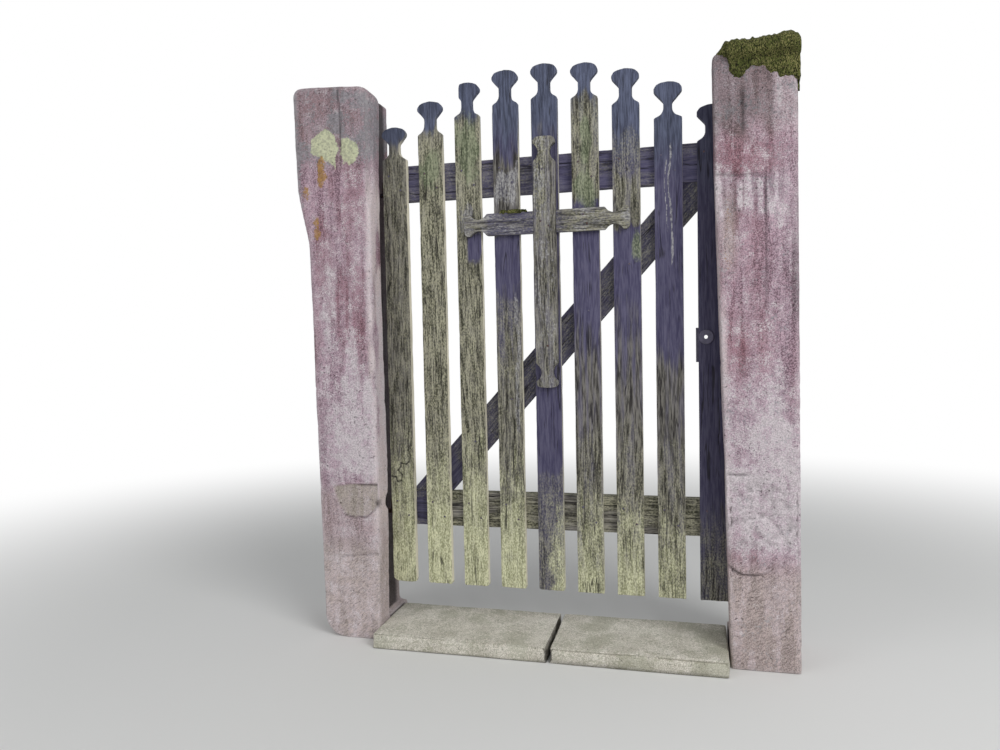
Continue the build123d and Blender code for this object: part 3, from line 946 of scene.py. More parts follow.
def stone_effect():
    """Mottling, speckles, pits, tool marks and runs of water on stone."""
    group, tree, inside, outside = effect(
        "Hewn Stone",
        [("Place", "NodeSocketVector", None), ("Tooling", "NodeSocketFloat", 0.0)],
        ["Mottle", "Speckle", "Pits", "Runs", "Height"],
    )
    place = inside["Place"]
    mottle = tree.noise(place, 12, 5, 0.6, stretch=(1, 1, 0.5))
    speckle = tree.noise(place, 290, 2, 0.7)
    inputs = {0: place, 2: (0, math.radians(-36), 0), 3: (4, 1, 1)}
    turned = tree.add("ShaderNodeMapping", inputs, vector_type="TEXTURE").outputs[0]
    strokes = tree.noise(turned, 190, 2, 0.6)
    speckle = tree.add(
        "ShaderNodeMix", {0: tree.times(inside["Tooling"], 0.7), 2: speckle, 3: strokes}, data_type="FLOAT"
    ).outputs[0]
    pits = tree.step(tree.noise(place, 120, 2, 0.6, shift=(1, 6, 2)), 0.36, 0.28)
    runs = tree.noise(place, 30, 4, 0.65, stretch=(1, 1, 0.1), shift=(5, 1, 4))
    tree.put(outside["Mottle"], tree.step(mottle, 0.36, 0.64))
    tree.put(outside["Speckle"], tree.step(speckle, 0.42, 0.58))
    tree.put(outside["Pits"], pits)
    tree.put(outside["Runs"], tree.step(runs, 0.38, 0.62))
    tree.put(outside["Height"], tree.blend((speckle, 1.0), (mottle, 0.3), (pits, -0.6)))
    return group


def new_material(name):
    """A material with only its shader and output, and the tree to fill it."""
    material = bpy.data.materials.new(name)
    material.use_nodes = True
    return material, Tree(material.node_tree), material.node_tree.nodes["Principled BSDF"]


def finish_shader(tree, shader, colour, roughness, gloss, height, distance, strength=0.8):
    """Sets what every material here sets: colour, roughness, specular level and a bump of some depth."""
    inputs = {"Strength": strength, "Distance": distance, "Height": height}
    normal = tree.add("ShaderNodeBump", inputs).outputs[0]
    tree.put(shader.inputs["Base Color"], colour)
    tree.put(shader.inputs["Roughness"], roughness)
    tree.put(shader.inputs["Normal"], normal)
    shader.inputs["Specular IOR Level"].default_value = gloss


def shaded(colour, share):
    return tuple(part * share for part in colour)


def timber_material(name, settings, stain_shade=1.0, grey_shade=1.0):
    """Weathered boards: bare grey grain, what is left of the stain, algae, pale bloom and crust, with painted
    shade in the splits and cracks.
    """
    material, tree, shader = new_material(name)
    board = tree.mark("board", vector=True)
    grain = tree.group(effects()["grain"], Board=board)
    lines = tree.blend((grain["Fibre"], 0.65), (grain["Streak"], 0.35))
    grey_light = shaded(settings.grey_light, grey_shade)
    wood = tree.mix(lines, shaded(settings.grey_dark, grey_shade), grey_light)
    stain_dark = shaded(settings.stain_dark, stain_shade)
    stain_light = shaded(settings.stain_light, stain_shade)
    faded = tree.tones(lines, settings.faded, 0.5 * stain_shade, 1.3 * stain_shade)
    stain_colour = tree.mix(tree.mark("faded"), tree.mix(lines, stain_dark, stain_light), faded)
    uneven = tree.times(tree.minus(grain["Streak"], 0.5), 0.4)
    stained = tree.step(tree.math("ADD", tree.mark("stain"), uneven), 0.2, 0.8)
    colour = tree.mix(stained, wood, stain_colour)
    for mark, dark, light, grain_size, softness, share in (
        ("algae", settings.algae_dark, settings.algae_light, 260.0, 0.3, 0.85),
        ("moss", tone("4a533e"), tone("8f957a"), 220.0, 0.25, 0.85),
        ("bloom", settings.bloom_dark, settings.bloom_light, 260.0, 0.26, 0.92),
        ("crust", tone("62606a"), tone("b4b3b2"), 190.0, 0.08, 0.7),
    ):
        growth = tree.growth(board, tree.mark(mark), grain_size, softness, 0.5)
        tint_tone = tree.step(tree.blend((growth["Tone"], 0.5), (lines, 0.5)), 0.1, 0.9)
        tint = tree.mix(tint_tone, tuple(dark), tuple(light))
        colour = tree.mix(tree.times(growth["Mask"], share), colour, tint)
    sawn = tree.times(tree.mark("bare"), tree.step(lines, -0.6, 0.5))
    colour = tree.mix(sawn, colour, tuple(settings.bare))
    colour = tree.mix(tree.times(tree.mark("arris"), 0.3), colour, grey_light)
    # Painted shade: the splits and the grain's cracks are darkened to near-black
    dark = tree.math("MAXIMUM", tree.times(grain["Crack"], 0.75), tree.mark("split"))
    colour = tree.mix(dark, colour, tone("171517"))
    roughness = tree.minus(0.92, tree.times(lines, 0.16))
    finish_shader(tree, shader, colour, roughness, 0.3, grain["Height"], 0.0022)
    return material


def post_material(name, settings):
    """Rose sandstone with pale crust, red beds, an earthy foot and lichens, with painted shade in its
    grooves, cracks and pits, and painted light on the cheek along the opening.
    """
    material, tree, shader = new_material(name)
    place = tree.place()
    stone = tree.group(effects()["stone"], Place=place, Tooling=tree.mark("tooled"))
    body = tree.blend((stone["Mottle"], 0.14), (stone["Runs"], 0.2), (stone["Speckle"], 0.66))
    colour = tree.mix(body, tuple(settings.rose_dark), tuple(settings.rose_light))
    # The stone along the opening is lightened: worn smooth at the arris, and painted light on the cheek
    for mark, dark, light in (("red", 0.45, 1.6), ("earth", 0.55, 1.3), ("rubbed", 0.72, 1.15)):
        colour = tree.mix(tree.mark(mark), colour, tree.tones(body, getattr(settings, mark), dark, light))
    uneven = tree.minus(stone["Runs"], 0.5)
    pale = tree.math("ADD", tree.mark("pale"), tree.times(uneven, 0.3))
    grains = tree.math("ADD", 0.14, tree.times(pale, 0.42))
    for amount, light, grain, softness, share in (
        (pale, settings.pale, 260.0, 0.28, 0.74),
        (grains, settings.dots, 260.0, 0.03, 0.75),
        (tree.mark("grey"), settings.lichen_grey, 110.0, 0.07, 0.7),
        (tree.mark("lime"), settings.lichen_lime, 120.0, 0.05, 0.9),
        (tree.mark("gold"), settings.lichen_gold, 120.0, 0.08, 0.8),
    ):
        growth = tree.growth(place, amount, grain, softness)
        tint = tree.tones(growth["Tone"], light, 0.7, 1)
        colour = tree.mix(tree.times(growth["Mask"], share), colour, tint)
    colour = tree.mix(tree.times(tree.mark("arris"), 0.4), colour, tuple(settings.dots))
    # Painted shade in the pits
    colour = tree.mix(tree.times(stone["Pits"], 0.6), colour, tone("43353b"))
    # Painted shade: grooves, cracks, the notch, the rebate's cheek and the heads are darkened towards
    # near-black; only in the joints is the dark dirt
    colour = tree.mix(tree.mark("hollow"), colour, tone("231d1e"))
    roughness = tree.minus(0.97, tree.times(stone["Speckle"], 0.1))
    finish_shader(tree, shader, colour, roughness, 0.25, stone["Height"], 0.007, 1.0)
    return material


def sill_material(name, settings):
    """The sill: worn grey-green stone"""
    material, tree, shader = new_material(name)
    place = tree.place()
    stone = tree.group(effects()["stone"], Place=place)
    body = tree.blend((stone["Mottle"], 0.3), (stone["Speckle"], 0.7))
    colour = tree.mix(body, tuple(settings.sill_dark), tuple(settings.sill_light))
    algae = tree.growth(place, tree.mark("algae"), 110.0, 0.08)
    colour = tree.mix(tree.times(algae["Mask"], 0.4), colour, tone("8d9173"))
    # Painted shade in the pits
    colour = tree.mix(tree.times(stone["Pits"], 0.5), colour, tone("5c584e"))
    # Painted shade under the sill, and dirt in its joint, darken these places
    colour = tree.mix(tree.mark("hollow"), colour, tone("38342d"))
    roughness = tree.minus(0.97, tree.times(stone["Speckle"], 0.12))
    finish_shader(tree, shader, colour, roughness, 0.25, stone["Height"], 0.006)
    return material


def iron_material(name, settings, paint_amount):
    """Old paint over rust"""
    material, tree, shader = new_material(name)
    place = tree.place()
    rust_tone = tree.step(tree.noise(place, 160, 5, 0.65), 0.35, 0.65)
    rust = tree.mix(rust_tone, tuple(settings.rust_dark), tuple(settings.rust))
    paint = tree.growth(place, paint_amount, 140.0, 0.05)
    colour = tree.mix(paint["Mask"], rust, tree.tones(paint["Tone"], settings.paint, 1, 1.35))
    roughness = tree.minus(0.85, tree.times(paint["Mask"], 0.25))
    tree.put(shader.inputs["Metallic"], tree.minus(0.25, tree.times(paint["Mask"], 0.2)))
    height = tree.blend((tree.noise(place, 300, 4, 0.6), 1.0), (paint["Mask"], 0.6))
    finish_shader(tree, shader, colour, roughness, IRON_GLOSS, height, 0.0008)
    return material


def moss_material(name, settings):
    """Moss in tufts, green with dry tips"""
    material, tree, shader = new_material(name)
    place = tree.place()
    tufts = tree.noise(place, 230, 4, 0.7, stretch=(1, 1, 0.5))
    tips = tree.noise(place, 400, 2, 0.6, stretch=(1, 1, 0.35), shift=(2, 5, 3))
    colour = tree.mix(tree.step(tufts, 0.42, 0.6), tuple(settings.shade), tuple(settings.green))
    straw = tree.times(tree.step(tips, 0.5, 0.6), tree.step(tree.noise(place, 24, 3), 0.3, 0.55))
    colour = tree.mix(straw, colour, tuple(settings.straw))
    height = tree.blend((tufts, 1.0), (tips, 0.6))
    finish_shader(tree, shader, colour, 0.97, 0.15, height, 0.006, 1.0)
    return material


def effects():
    """The shared node groups, made when they are first asked for."""
    found = bpy.data.node_groups.get
    return {
        "grain": found("Timber Grain") or grain_effect(),
        "growth": found("Surface Growth") or growth_effect(),
        "stone": found("Hewn Stone") or stone_effect(),
    }


# Stones


def averaged(points, edges, rounds):
    """Points drawn towards the middle of their neighbours, which wears every corner round."""
    count = len(points)
    ends = np.concatenate([edges, edges[:, ::-1]])
    near = np.maximum(np.bincount(ends[:, 0], minlength=count), 1)
    for _ in range(rounds):
        total = [np.bincount(ends[:, 0], weights=axis[ends[:, 1]], minlength=count) for axis in points.T]
        points = 0.4 * points + 0.6 * np.stack(total, 1) / near[:, None]
    return points


def read_points(mesh, name="co"):
    """Places of a mesh's points as rows of an array, or another vector that each of them has."""
    values = np.empty(len(mesh.vertices) * 3)
    mesh.vertices.foreach_get(name, values)
    return values.reshape(-1, 3)


def write_points(mesh, points):
    mesh.vertices.foreach_set("co", points.ravel())
    mesh.update()


# Rounds of smoothing that say where a stone's arrises are, and the depth that counts as a full arris
WEAR_ROUNDS = 9
FULL_ARRIS = 0.005


def worn_stone(node, settings, carve, seed):
    """A stone in even small faces, with worn arrises, each point then moved as carve() says."""
    rough = new_object(f"rough_{node}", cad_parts[node].data.copy())
    remesh = rough.modifiers.new("Even", "REMESH")
    remesh.mode = "VOXEL"
    remesh.voxel_size = settings.cell
    graph = bpy.context.evaluated_depsgraph_get()
    graph.update()
    mesh = bpy.data.meshes.new_from_object(rough.evaluated_get(graph))
    source = rough.data
    bpy.data.objects.remove(rough)
    bpy.data.meshes.remove(source)
    mesh.name = f"{node}_stone"
    mesh.materials.clear()
    points = read_points(mesh)
    edges = np.empty(len(mesh.edges) * 2, dtype=np.int32)
    mesh.edges.foreach_get("vertices", edges)
    shift = averaged(points, edges.reshape(-1, 2), WEAR_ROUNDS) - points
    inward = np.clip(-(shift * read_points(mesh, "normal")).sum(1), 0, None)
    wear = settings.wear * (0.35 + 1.3 * layered(points / MM, 90, seed, 2))
    points = points + shift * (wear * (inward > 0))[:, None]
    write_points(mesh, points)
    offset, marks = carve(points / MM, read_points(mesh, "normal"))
    low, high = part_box(node)
    write_points(mesh, np.clip(points + offset * MM, np.array(low), np.array(high)))
    marks["arris"] = np.clip(inward / FULL_ARRIS, 0, 1)
    mark_mesh(mesh, marks)
    return mesh


def cut_back(normal, depth):
    """Moves points inwards by a depth, apart from those of the underside."""
    return -normal * (np.clip(depth, 0, None) * ease(normal[:, 2], -0.9, -0.4))[:, None]


def hewn_depth(point, seed):
    """Wide hollows of the axe, smaller ones of the weather, and pits."""
    depth = 4.0 * layered(point, 230, seed, 2) + 1.6 * layered(point, 60, seed + 3, 2)
    depth += 1.0 * layered(point, 17, seed + 6, 2) - 1.4
    return depth + 1.6 * ease(layered(point, 26, seed + 8, 2), 0.62, 0.8)


def strokes(point, angle, length, width, seed):
    """Tool marks on an upright face: short strokes at an angle to the level."""
    turn = math.radians(angle)
    along = point[:, 0] * math.cos(turn) + point[:, 2] * math.sin(turn)
    over = point[:, 2] * math.cos(turn) - point[:, 0] * math.sin(turn)
    return noise(np.stack([along / length, point[:, 1] / length, over / width], 1), 1, seed)


def patch(point, x, z, half_width, half_height, seed, ragged=0.5):
    """1 inside a ragged spot on the street side, 0 outside."""
    away = np.hypot((point[:, 0] - x) / half_width, (point[:, 2] - z) / half_height)
    away += ragged * (layered(point, 30, seed, 3) - 0.5) * 2
    return ease(away, 1.15, 0.8)


def area(point, across, lows, highs, seed, ragged=14, soft=8):
    """1 on the street side between a lower and an upper edge, given at places across, 0 outside."""
    x, z = point[:, 0], point[:, 2]
    shake = ragged * (layered(point, 36, seed, 3) - 0.5) * 2
    low, high = np.interp(x, across, lows), np.interp(x, across, highs)
    return within(x + shake, across[0], across[-1], soft) * within(z + shake, low, high, soft)


# Outlines of the posts, in millimetres: how far the sides stand at some heights
HINGE_POST_INNER = ((0, 650, 1250, 2028), (119, 127, 124, 138))
HINGE_POST_OUTER = ((0, 1470, 1660, 2048), (-108, -129, -167, -178))
LATCH_POST_INNER = ((0, 2010), (1361, 1314))

# The rebate of both posts, along y: where it starts, and between which places its shade fades out
REBATE_START = -47
REBATE_SHADE = (125, 85)

# Lower edge of the brown panel sunk into the hinge post, and the upper one
PANEL_ACROSS = (-56, -35, -12, 30, 80, 110, 128)
PANEL_LOW = (560, 510, 468, 458, 464, 492, 512)
PANEL_HIGH = (570, 574, 577, 580, 583, 584, 584)

# Spots on the hinge post's face: places across it, with their lower and their upper edge
CHALKY_SPOT = (-19, 0, 60, 116), (745, 640, 604, 599), (830, 850, 820, 800)
RED_SPOT = (-129, -70, -39, -33), (1954, 1927, 1930, 1952), (2000, 2012, 2017, 2000)
SMALL_RED_SPOT = (22, 40, 80), (1935, 1908, 1899), (1950, 1946, 1935)
LIME_SPOT = (-106, -71, -43, -8, 1), (1800, 1789, 1764, 1744, 1797), (1850, 1880, 1889, 1856, 1820)
SMALL_LIME_SPOT = (14, 20, 51, 82), (1790, 1751, 1748, 1780), (1820, 1844, 1848, 1831)

# Gold lichens under them: place across, height, half width, half height, seed and strength
GOLD_SPOTS = (
    (-66, 1735, 17, 50, 137, 1.0),
    (-90, 1530, 13, 42, 138, 1.0),
    (-126, 1655, 15, 30, 139, 0.7),
)

# Width of the worn bevel along the opening on the hinge post's head, the way in which it faces, and
# the post's front, where it starts
HEAD_BEVEL = 26
BEVEL_WAY = (0.874, -0.485, 0)
POST_FRONT_Y = -145


def worn_and_lit_cheek(point, jamb, arris, seed, low_top, high_top):
    """How far the arris and the cheek along the opening are worn smooth and lightened, up to a height: wear
    on the arris, and painted light on the cheek.
    """
    height = point[:, 2]
    worn = ease(layered(point, (40, 40, 160), seed, 2), 0.25, 0.5)
    cheek = np.maximum(jamb * (point[:, 1] < REBATE_START), arris)
    return cheek * worn * ease(height, 330, 480) * ease(height, high_top, low_top)


def rebate_shade(jamb, y):
    return 0.85 * jamb * (y > REBATE_START) * ease(y, *REBATE_SHADE)


def hinge_post_carve(point, normal):
    """Marks of the hinge post: a sunk brown panel, tooling at its foot, a notch, lichens on its head."""
    x, y, z = point.T
    street = ease(-normal[:, 1], 0.45, 0.8)
    jamb = ease(normal[:, 0], 0.5, 0.85)
    inner = np.interp(z, *HINGE_POST_INNER)
    outer = np.interp(z, *HINGE_POST_OUTER)
    head = ease(z, 1700, 1830)

    depth = hewn_depth(point, 101)
    panel = area(point, PANEL_ACROSS, PANEL_LOW, PANEL_HIGH, 130, 5, 3) * street
    low_edge = groove(z - np.interp(x, PANEL_ACROSS, PANEL_LOW) + 3, 3) * within(x, -30, 124, 12)
    high_edge = groove(z - np.interp(x, PANEL_ACROSS, PANEL_HIGH) + 4, 3) * within(x, 40, 130, 14)
    edges = (low_edge + high_edge) * street
    joint = groove(z - 307 - 0.1 * x - 5 * noise(point, 40, 129), 4) * ease(x, -60, -10) * street
    tooled = ease(z, 350, 270) * street
    bed = groove(x - 14 - 12 * (noise(point, 80, 132) - 0.5), 4) * ease(z, 1720, 1780) * street
    notch = np.exp(-(((z - 508) / 13) ** 2)) * ease(x, 96, 122) * ease(y, -100, -135)
    depth += 5.5 * panel
    depth += 2.5 * joint + 2 * edges
    depth += 1.3 * tooled * ease(strokes(point, 34, 30, 6, 131), 0.4, 0.75)
    depth += 4 * bed
    depth += 11 * notch

    runs = layered(point, (34, 34, 300), 133, 3)
    wide = layered(point, (110, 110, 320), 128, 2)
    pale = 0.12 + 0.3 * ease(wide, 0.4, 0.65) * ease(z, 560, 700)
    pale += 0.5 * area(point, *CHALKY_SPOT, 134, 50, 20) * street
    pale += 0.5 * ease(runs, 0.46, 0.62) * within(z, 760, 1400, 200) + 0.4 * within(z, 600, 900, 120)
    pale = pale * (1 - 0.8 * panel) * (1 - 0.4 * ease(z, 1450, 1700))
    pale += 0.14 * ease(z, 430, 380)
    veins = ease(layered(point, (70, 70, 240), 140, 2), 0.4, 0.62)
    red = 0.65 * veins * ease(z, 850, 1200) * ease(z, 1950, 1700) + 0.3 * panel
    red += 0.55 * ease(layered(point, (60, 60, 60), 145, 3), 0.5, 0.62) * ease(z, 1720, 1800)
    red += 0.8 * area(point, *RED_SPOT, 141, 18, 10) + 0.7 * area(point, *SMALL_RED_SPOT, 142, 10, 8)
    lime = area(point, *LIME_SPOT, 135, 20, 4) + area(point, *SMALL_LIME_SPOT, 136, 16, 4)
    gold = sum(strength * patch(point, *spot, 0.9) for *spot, strength in GOLD_SPOTS)
    arris_crust = ease(x, outer + 36, outer + 10) * ease(z, 1450, 1700)
    arris = ease(x, inner - 34, inner - 12) * street
    earth = 0.45 * ease(z, 600, 520) + 0.4 * ease(z, 420, 300) + 0.9 * panel + 0.25 * head
    grey = (0.2 + 0.5 * ease(layered(point, 70, 146, 3), 0.42, 0.6)) * head + 0.45 * arris_crust
    # Painted shade in the bed groove, along the panel's edges and in the notch, a darker head, and dirt in
    # the joint; rebate_shade adds painted shade on the rebate's cheek
    hollow = 0.5 * bed + 0.35 * joint + 0.7 * edges + 0.2 * head + 0.1 * panel - 0.3 * lime
    marks = {
        "pale": np.clip(pale, 0, 1),
        "red": np.clip(red, 0, 0.85),
        "earth": np.clip(earth, 0, 1),
        "rubbed": 0.9 * worn_and_lit_cheek(point, jamb, arris, 143, 1600, 1780) * (1 - panel),
        "tooled": 0.3 + 0.5 * tooled,
        "grey": np.clip(grey, 0, 0.8),
        "lime": 0.8 * np.clip(lime, 0, 1) * street,
        "gold": 0.7 * np.clip(gold, 0, 1) * street,
        "hollow": np.maximum.reduce([np.clip(hollow, 0, 0.7), rebate_shade(jamb, y), 0.8 * notch]),
    }
    size = HEAD_BEVEL * ease(z, 1480, 1720)
    over = (x - inner + size) * BEVEL_WAY[0] + (y - POST_FRONT_Y) * BEVEL_WAY[1]
    return cut_back(normal, depth) - np.clip(over, 0, 60)[:, None] * np.array(BEVEL_WAY), marks


# Across the gateway, the groove in the latch post's head; up the post, the lip below its red bed; and the
# middle of the round spall near its foot, across and up, with the radius of the crack round it
HEAD_GROOVE_X = 1408
LIP_HEIGHT = 1626
SPALL_X = 1428
SPALL_HEIGHT = 412
SPALL_CRACK = 97


def latch_post_carve(point, normal):
    """Marks of the latch post: a red bed that ends in a lip, a pitted zone, a round spall with its crack."""
    x, y, z = point.T
    street = ease(-normal[:, 1], 0.45, 0.8)
    jamb = ease(-normal[:, 0], 0.5, 0.85)
    inner = np.interp(z, *LATCH_POST_INNER)
    head = ease(z + 90 * (layered(point, 50, 247, 2) - 0.5), 1705, 1795)

    depth = hewn_depth(point, 201)
    lip_height = LIP_HEIGHT + 16 * (noise(point, 50, 231) - 0.5) - 0.1 * np.maximum(x - 1345, 0)
    below_lip = ease(z, lip_height + 2, lip_height - 2) * ease(z, 1350, 1590) * ease(x, 1500, 1450) * street
    lip = groove(z - lip_height + 3, 3) * ease(x, 1490, 1450) * street
    wander = 8 * (noise(point, 70, 232) - 0.5)
    channel = groove(x - HEAD_GROOVE_X - wander, 6) * within(z, 1750, 1890, 25) * street
    beds = noise(point, (120, 120, 7), 233)
    shale = ease(beds, 0.4, 0.7) * within(z, 1640, 1722, 12) * street
    pitted = within(z, 400, 630, 40) * street
    pits = ease(layered(point, (17, 17, 12), 234, 3), 0.52, 0.68)
    away = np.hypot(x - SPALL_X, (z - SPALL_HEIGHT) * 1.02) + 26 * (layered(point, 60, 235, 2) - 0.5)
    sunk = 9 * ease(away, 90, 104) * within(z, 150, 700, 130)
    dome = 4 * (np.clip(away, 0, 100) / 100) ** 2
    near = (away < 140) * street
    crack = groove(away - SPALL_CRACK, 3.4) * ease(z, 372, 345) * ease(x, 1478, 1445) * near
    crack += 0.5 * groove(away - SPALL_CRACK, 3) * ease(z, 440, 470) * ease(x, 1440, 1400) * near
    bed = groove(z - 648 - 5 * (noise(point, 40, 236) - 0.5), 4) * ease(x, 1440, 1405) * street
    cracks = ease(noise(point, (10, 10, 320), 245), 0.64, 0.78)
    cracks = cracks * ease(x, 1420, 1470) * within(z, 1150, 1600, 60)
    veins = ease(noise(point, (9, 9, 200), 246), 0.56, 0.74) * within(z, 1480, 1618, 40)
    depth += 3.6 * below_lip + 2 * lip
    depth += 4 * channel
    depth += 1.4 * shale
    depth += 5 * pitted * pits
    depth += (sunk + dome * (away < 110)) * street
    depth += 5 * crack
    depth += 4 * bed
    depth += (2.5 * cracks + 1.5 * veins) * street

    runs = layered(point, (30, 30, 320), 237, 3)
    wide = layered(point, (120, 120, 300), 228, 2)
    ragged = z + 70 * (noise(point, (14, 14, 90), 241) - 0.5)
    pale = 0.04 + 0.2 * ease(wide, 0.4, 0.65) + 0.3 * ease(runs, 0.48, 0.7) * within(z, 650, 1600, 120)
    pale += 0.45 * within(z, 600, 960, 120) + 0.3 * patch(point, 1500, 720, 90, 130, 238, 0.8)
    pale += (0.7 - 0.6 * veins) * within(ragged, 1500, 1618, 24) * ease(x, 1570, 1460)
    pale += 0.2 * ease(x, 1492, 1512) * within(z, 1760, 1905, 30) * street
    pale += 0.9 * within(z, 400, 650, 60)
    pale = pale * (1 - 0.5 * ease(z, 420, 340)) * (1 - 0.7 * ease(z, 1640, 1760) * ease(x, 1512, 1492))
    pale = pale * (1 - 0.45 * within(z, 1000, 1430, 100))
    red_bed = ease(z, 1600, 1640) * ease(z + 60 * (noise(point, 50, 248) - 0.5), 1790, 1690)
    red = 0.85 * red_bed * ease(x, 1570, 1500) * (0.7 + 0.5 * beds)
    red += 0.3 * head * groove(x - 1455, 30)
    red += 0.4 * groove(x - 1440, 34) * within(z, 1000, 1560, 100)
    red += 0.35 * groove(x - 1385, 22) * within(z, 850, 1150, 90)
    red_runs = ease(layered(point, (60, 60, 260), 239, 2), 0.42, 0.64)
    red += 0.55 * red_runs * ease(z, 700, 1000) * ease(z, 1720, 1500)
    red += 0.45 * patch(point, 1400, 420, 60, 80, 240)
    cream = groove(x - 1366, 24) * within(z, 1330, 1560, 70) * street
    earth = 0.7 * ease(z, 420, 280) + 0.35 * head + 0.1 * pitted + 0.6 * cream
    arris = ease(x, inner + 30, inner + 10) * street
    # Painted shade in the spall's crack, the bed, the lip, the groove, the cracks, the veins and the pits,
    # and a darker head
    hollow = 0.8 * crack + 0.6 * bed + 0.4 * (lip + channel + cracks) + 0.25 * veins
    hollow += 0.22 * pitted * pits + (0.15 + 0.3 * ease(x, 1512, 1496)) * head
    marks = {
        "pale": np.clip(pale, 0, 1),
        "red": np.clip(red, 0, 0.85),
        "earth": np.clip(earth, 0, 1),
        "rubbed": 0.7 * worn_and_lit_cheek(point, jamb, arris, 243, 1600, 1640),
        "tooled": 0.3 + 0.2 * ease(z, 470, 380),
        "grey": 0.15 * head + 0.1,
        "lime": np.zeros(len(x)),
        "gold": 0.16 * groove(x - 1362, 16) * within(z, 1330, 1540, 60) * street,
        "hollow": np.maximum(np.clip(hollow, 0, 0.8), rebate_shade(jamb, y)),
    }
    return cut_back(normal, depth), marks


# Middle of the joint between the two stones of the sill
SILL_JOINT_X = 762


def sill_carve(point, normal):
    """The sill's top is trodden into a dip, its front is broken and its joint is ragged."""
    x, y, z = point.T
    depth = 4.0 * layered(point, 170, 301, 2) + 2.5 * layered(point, 40, 304, 2)
    depth += 1.4 * layered(point, 14, 306, 2) - 2
    top = ease(normal[:, 2], 0.5, 0.85)
    trodden = np.exp(-(((x - 740) / 420) ** 2)) * np.exp(-(((y + 120) / 160) ** 2))
    depth += 5 * top * trodden
    front = ease(-normal[:, 1], 0.3, 0.8)
    depth += front * (12 * ease(layered(point, 130, 308, 2), 0.4, 0.75) + 8 * ease(z, 25, 60))
    depth += 7 * top * ease(y, -190, -222) * layered(point, 60, 309, 2)
    joint = ease(np.abs(normal[:, 0]), 0.3, 0.8) * (np.abs(x - SILL_JOINT_X) < 25)
    side = np.stack([x * 0, y, z], 1)
    depth += joint * (3 + 12 * ease(layered(side, 34, 311, 3), 0.35, 0.7))
    marks = {
        "algae": 0.35 + 0.35 * ease(layered(point, 130, 310, 2), 0.45, 0.65),
        # Painted shade on the underside, and dirt in the joint
        "hollow": np.clip(0.5 * ease(-normal[:, 2], 0.2, 0.8) + 0.6 * joint, 0, 0.8),
    }
    return cut_back(normal, depth), marks


# Moss


# How far the moss reaches into what carries it, in millimetres
MOSS_DEPTH = 18


def moss_sheet(name, path, across, rise, seed):
    """A closed cushion over a path: out from each point of it along its own way, as high as rise() says.

    The path's rows hold y, z and the two parts of the way out. Where rise() is below 0 the moss has sunk
    into what carries it, and the ragged border lies where it comes out.
    """
    steps, columns = len(path), len(across)
    u, v = (part.ravel() for part in np.meshgrid(np.arange(steps), np.arange(columns), indexing="ij"))
    base = np.stack([across[v], path[u, 0], path[u, 1]], 1)
    out = np.stack([np.zeros(len(base)), path[u, 2], path[u, 3]], 1)
    lumps = layered(base, 30, seed, 3) * 0.55 + layered(base, 8, seed + 4, 2) * 0.6
    height = rise(base)
    height = np.where(height > 0, height * (0.72 + 0.45 * lumps), height)
    top = base + out * height[:, None]
    top += 3 * (np.stack([noise(base, 9, seed + 7 + axis) for axis in range(3)], 1) - 0.5)
    points = np.concatenate([top, base - out * MOSS_DEPTH])
    index = np.arange(steps * columns).reshape(steps, columns)
    quads = np.stack([index[:-1, :-1], index[:-1, 1:], index[1:, 1:], index[1:, :-1]], -1).reshape(-1, 4)
    rim = np.concatenate([index[0, :-1], index[:-1, -1], index[-1, :0:-1], index[:0:-1, 0]])
    count = steps * columns
    skirt = np.stack([rim, rim + count, np.roll(rim, -1) + count, np.roll(rim, -1)], 1)
    return mesh_from(name, points, np.concatenate([quads, quads[:, ::-1] + count, skirt]))


def bent_path(corners, step, bend):
    """Rows of a path over an object: points every step along its straight runs, and bends between them."""
    corners = np.asarray(corners, float)
    runs = np.diff(corners, axis=0)
    lengths = np.linalg.norm(runs, axis=1)
    ways = runs / lengths[:, None]
    places, outs = [], []
    for number, (start, way, length) in enumerate(zip(corners, ways, lengths)):
        first = bend if number else 0
        last = length - (bend if number < len(ways) - 1 else 0)
        out = np.array([-way[1], way[0]])
        for part in np.linspace(first, last, max(2, round((last - first) / step))):
            places.append(start + way * part)
            outs.append(out)
        if number < len(ways) - 1:
            following = ways[number + 1]
            out_next = np.array([-following[1], following[0]])
            corner = corners[number + 1]
            for part in (0.25, 0.5, 0.75):
                side = (1 - part) ** 2 * (corner - way * bend) + 2 * part * (1 - part) * corner
                places.append(side + part**2 * (corner + following * bend))
                mixed = out * (1 - part) + out_next * part
                outs.append(mixed / np.linalg.norm(mixed))
    return np.concatenate([places, outs], 1)


# Iron


def studs(name, places, radius, rise, way, segments):
    """Domed heads in one mesh, at places given in millimetres, all facing one way along the y axis."""
    profile = np.array([(1.0, -1.6), (1.0, 0.1), (0.93, 0.42), (0.7, 0.75), (0.38, 0.95)])
    turn = np.arange(segments) * 2 * math.pi / segments
    points, faces = [], []
    for number, (x, y, z) in enumerate(places):
        start = len(points)
        beaten = 1 + 0.1 * (line_noise(np.cos(turn) * 2 + number * 9, 1, 401) - 0.5)
        for share, level in profile:
            ring = np.stack([np.cos(turn), np.sin(turn)], 1) * (share * beaten * radius)[:, None]
            points += [(x + a, y + way * level * rise, z + b) for a, b in ring]
        points += [(x, y + way * rise, z), (x, y + way * profile[0][1] * rise, z)]
        top, bottom = len(points) - 2, len(points) - 1
        for n in range(segments):
            m = (n + 1) % segments
            ends = [(start + n, start + m, bottom)]
            for level in range(len(profile) - 1):
                a, b = start + level * segments, start + (level + 1) * segments
                ends.append((a + n, b + n, b + m, a + m))
            last = start + (len(profile) - 1) * segments
            ends.append((last + n, top, last + m))
            faces += [face if way < 0 else face[::-1] for face in ends]
    return mesh_from(name, points, faces)


# Operators


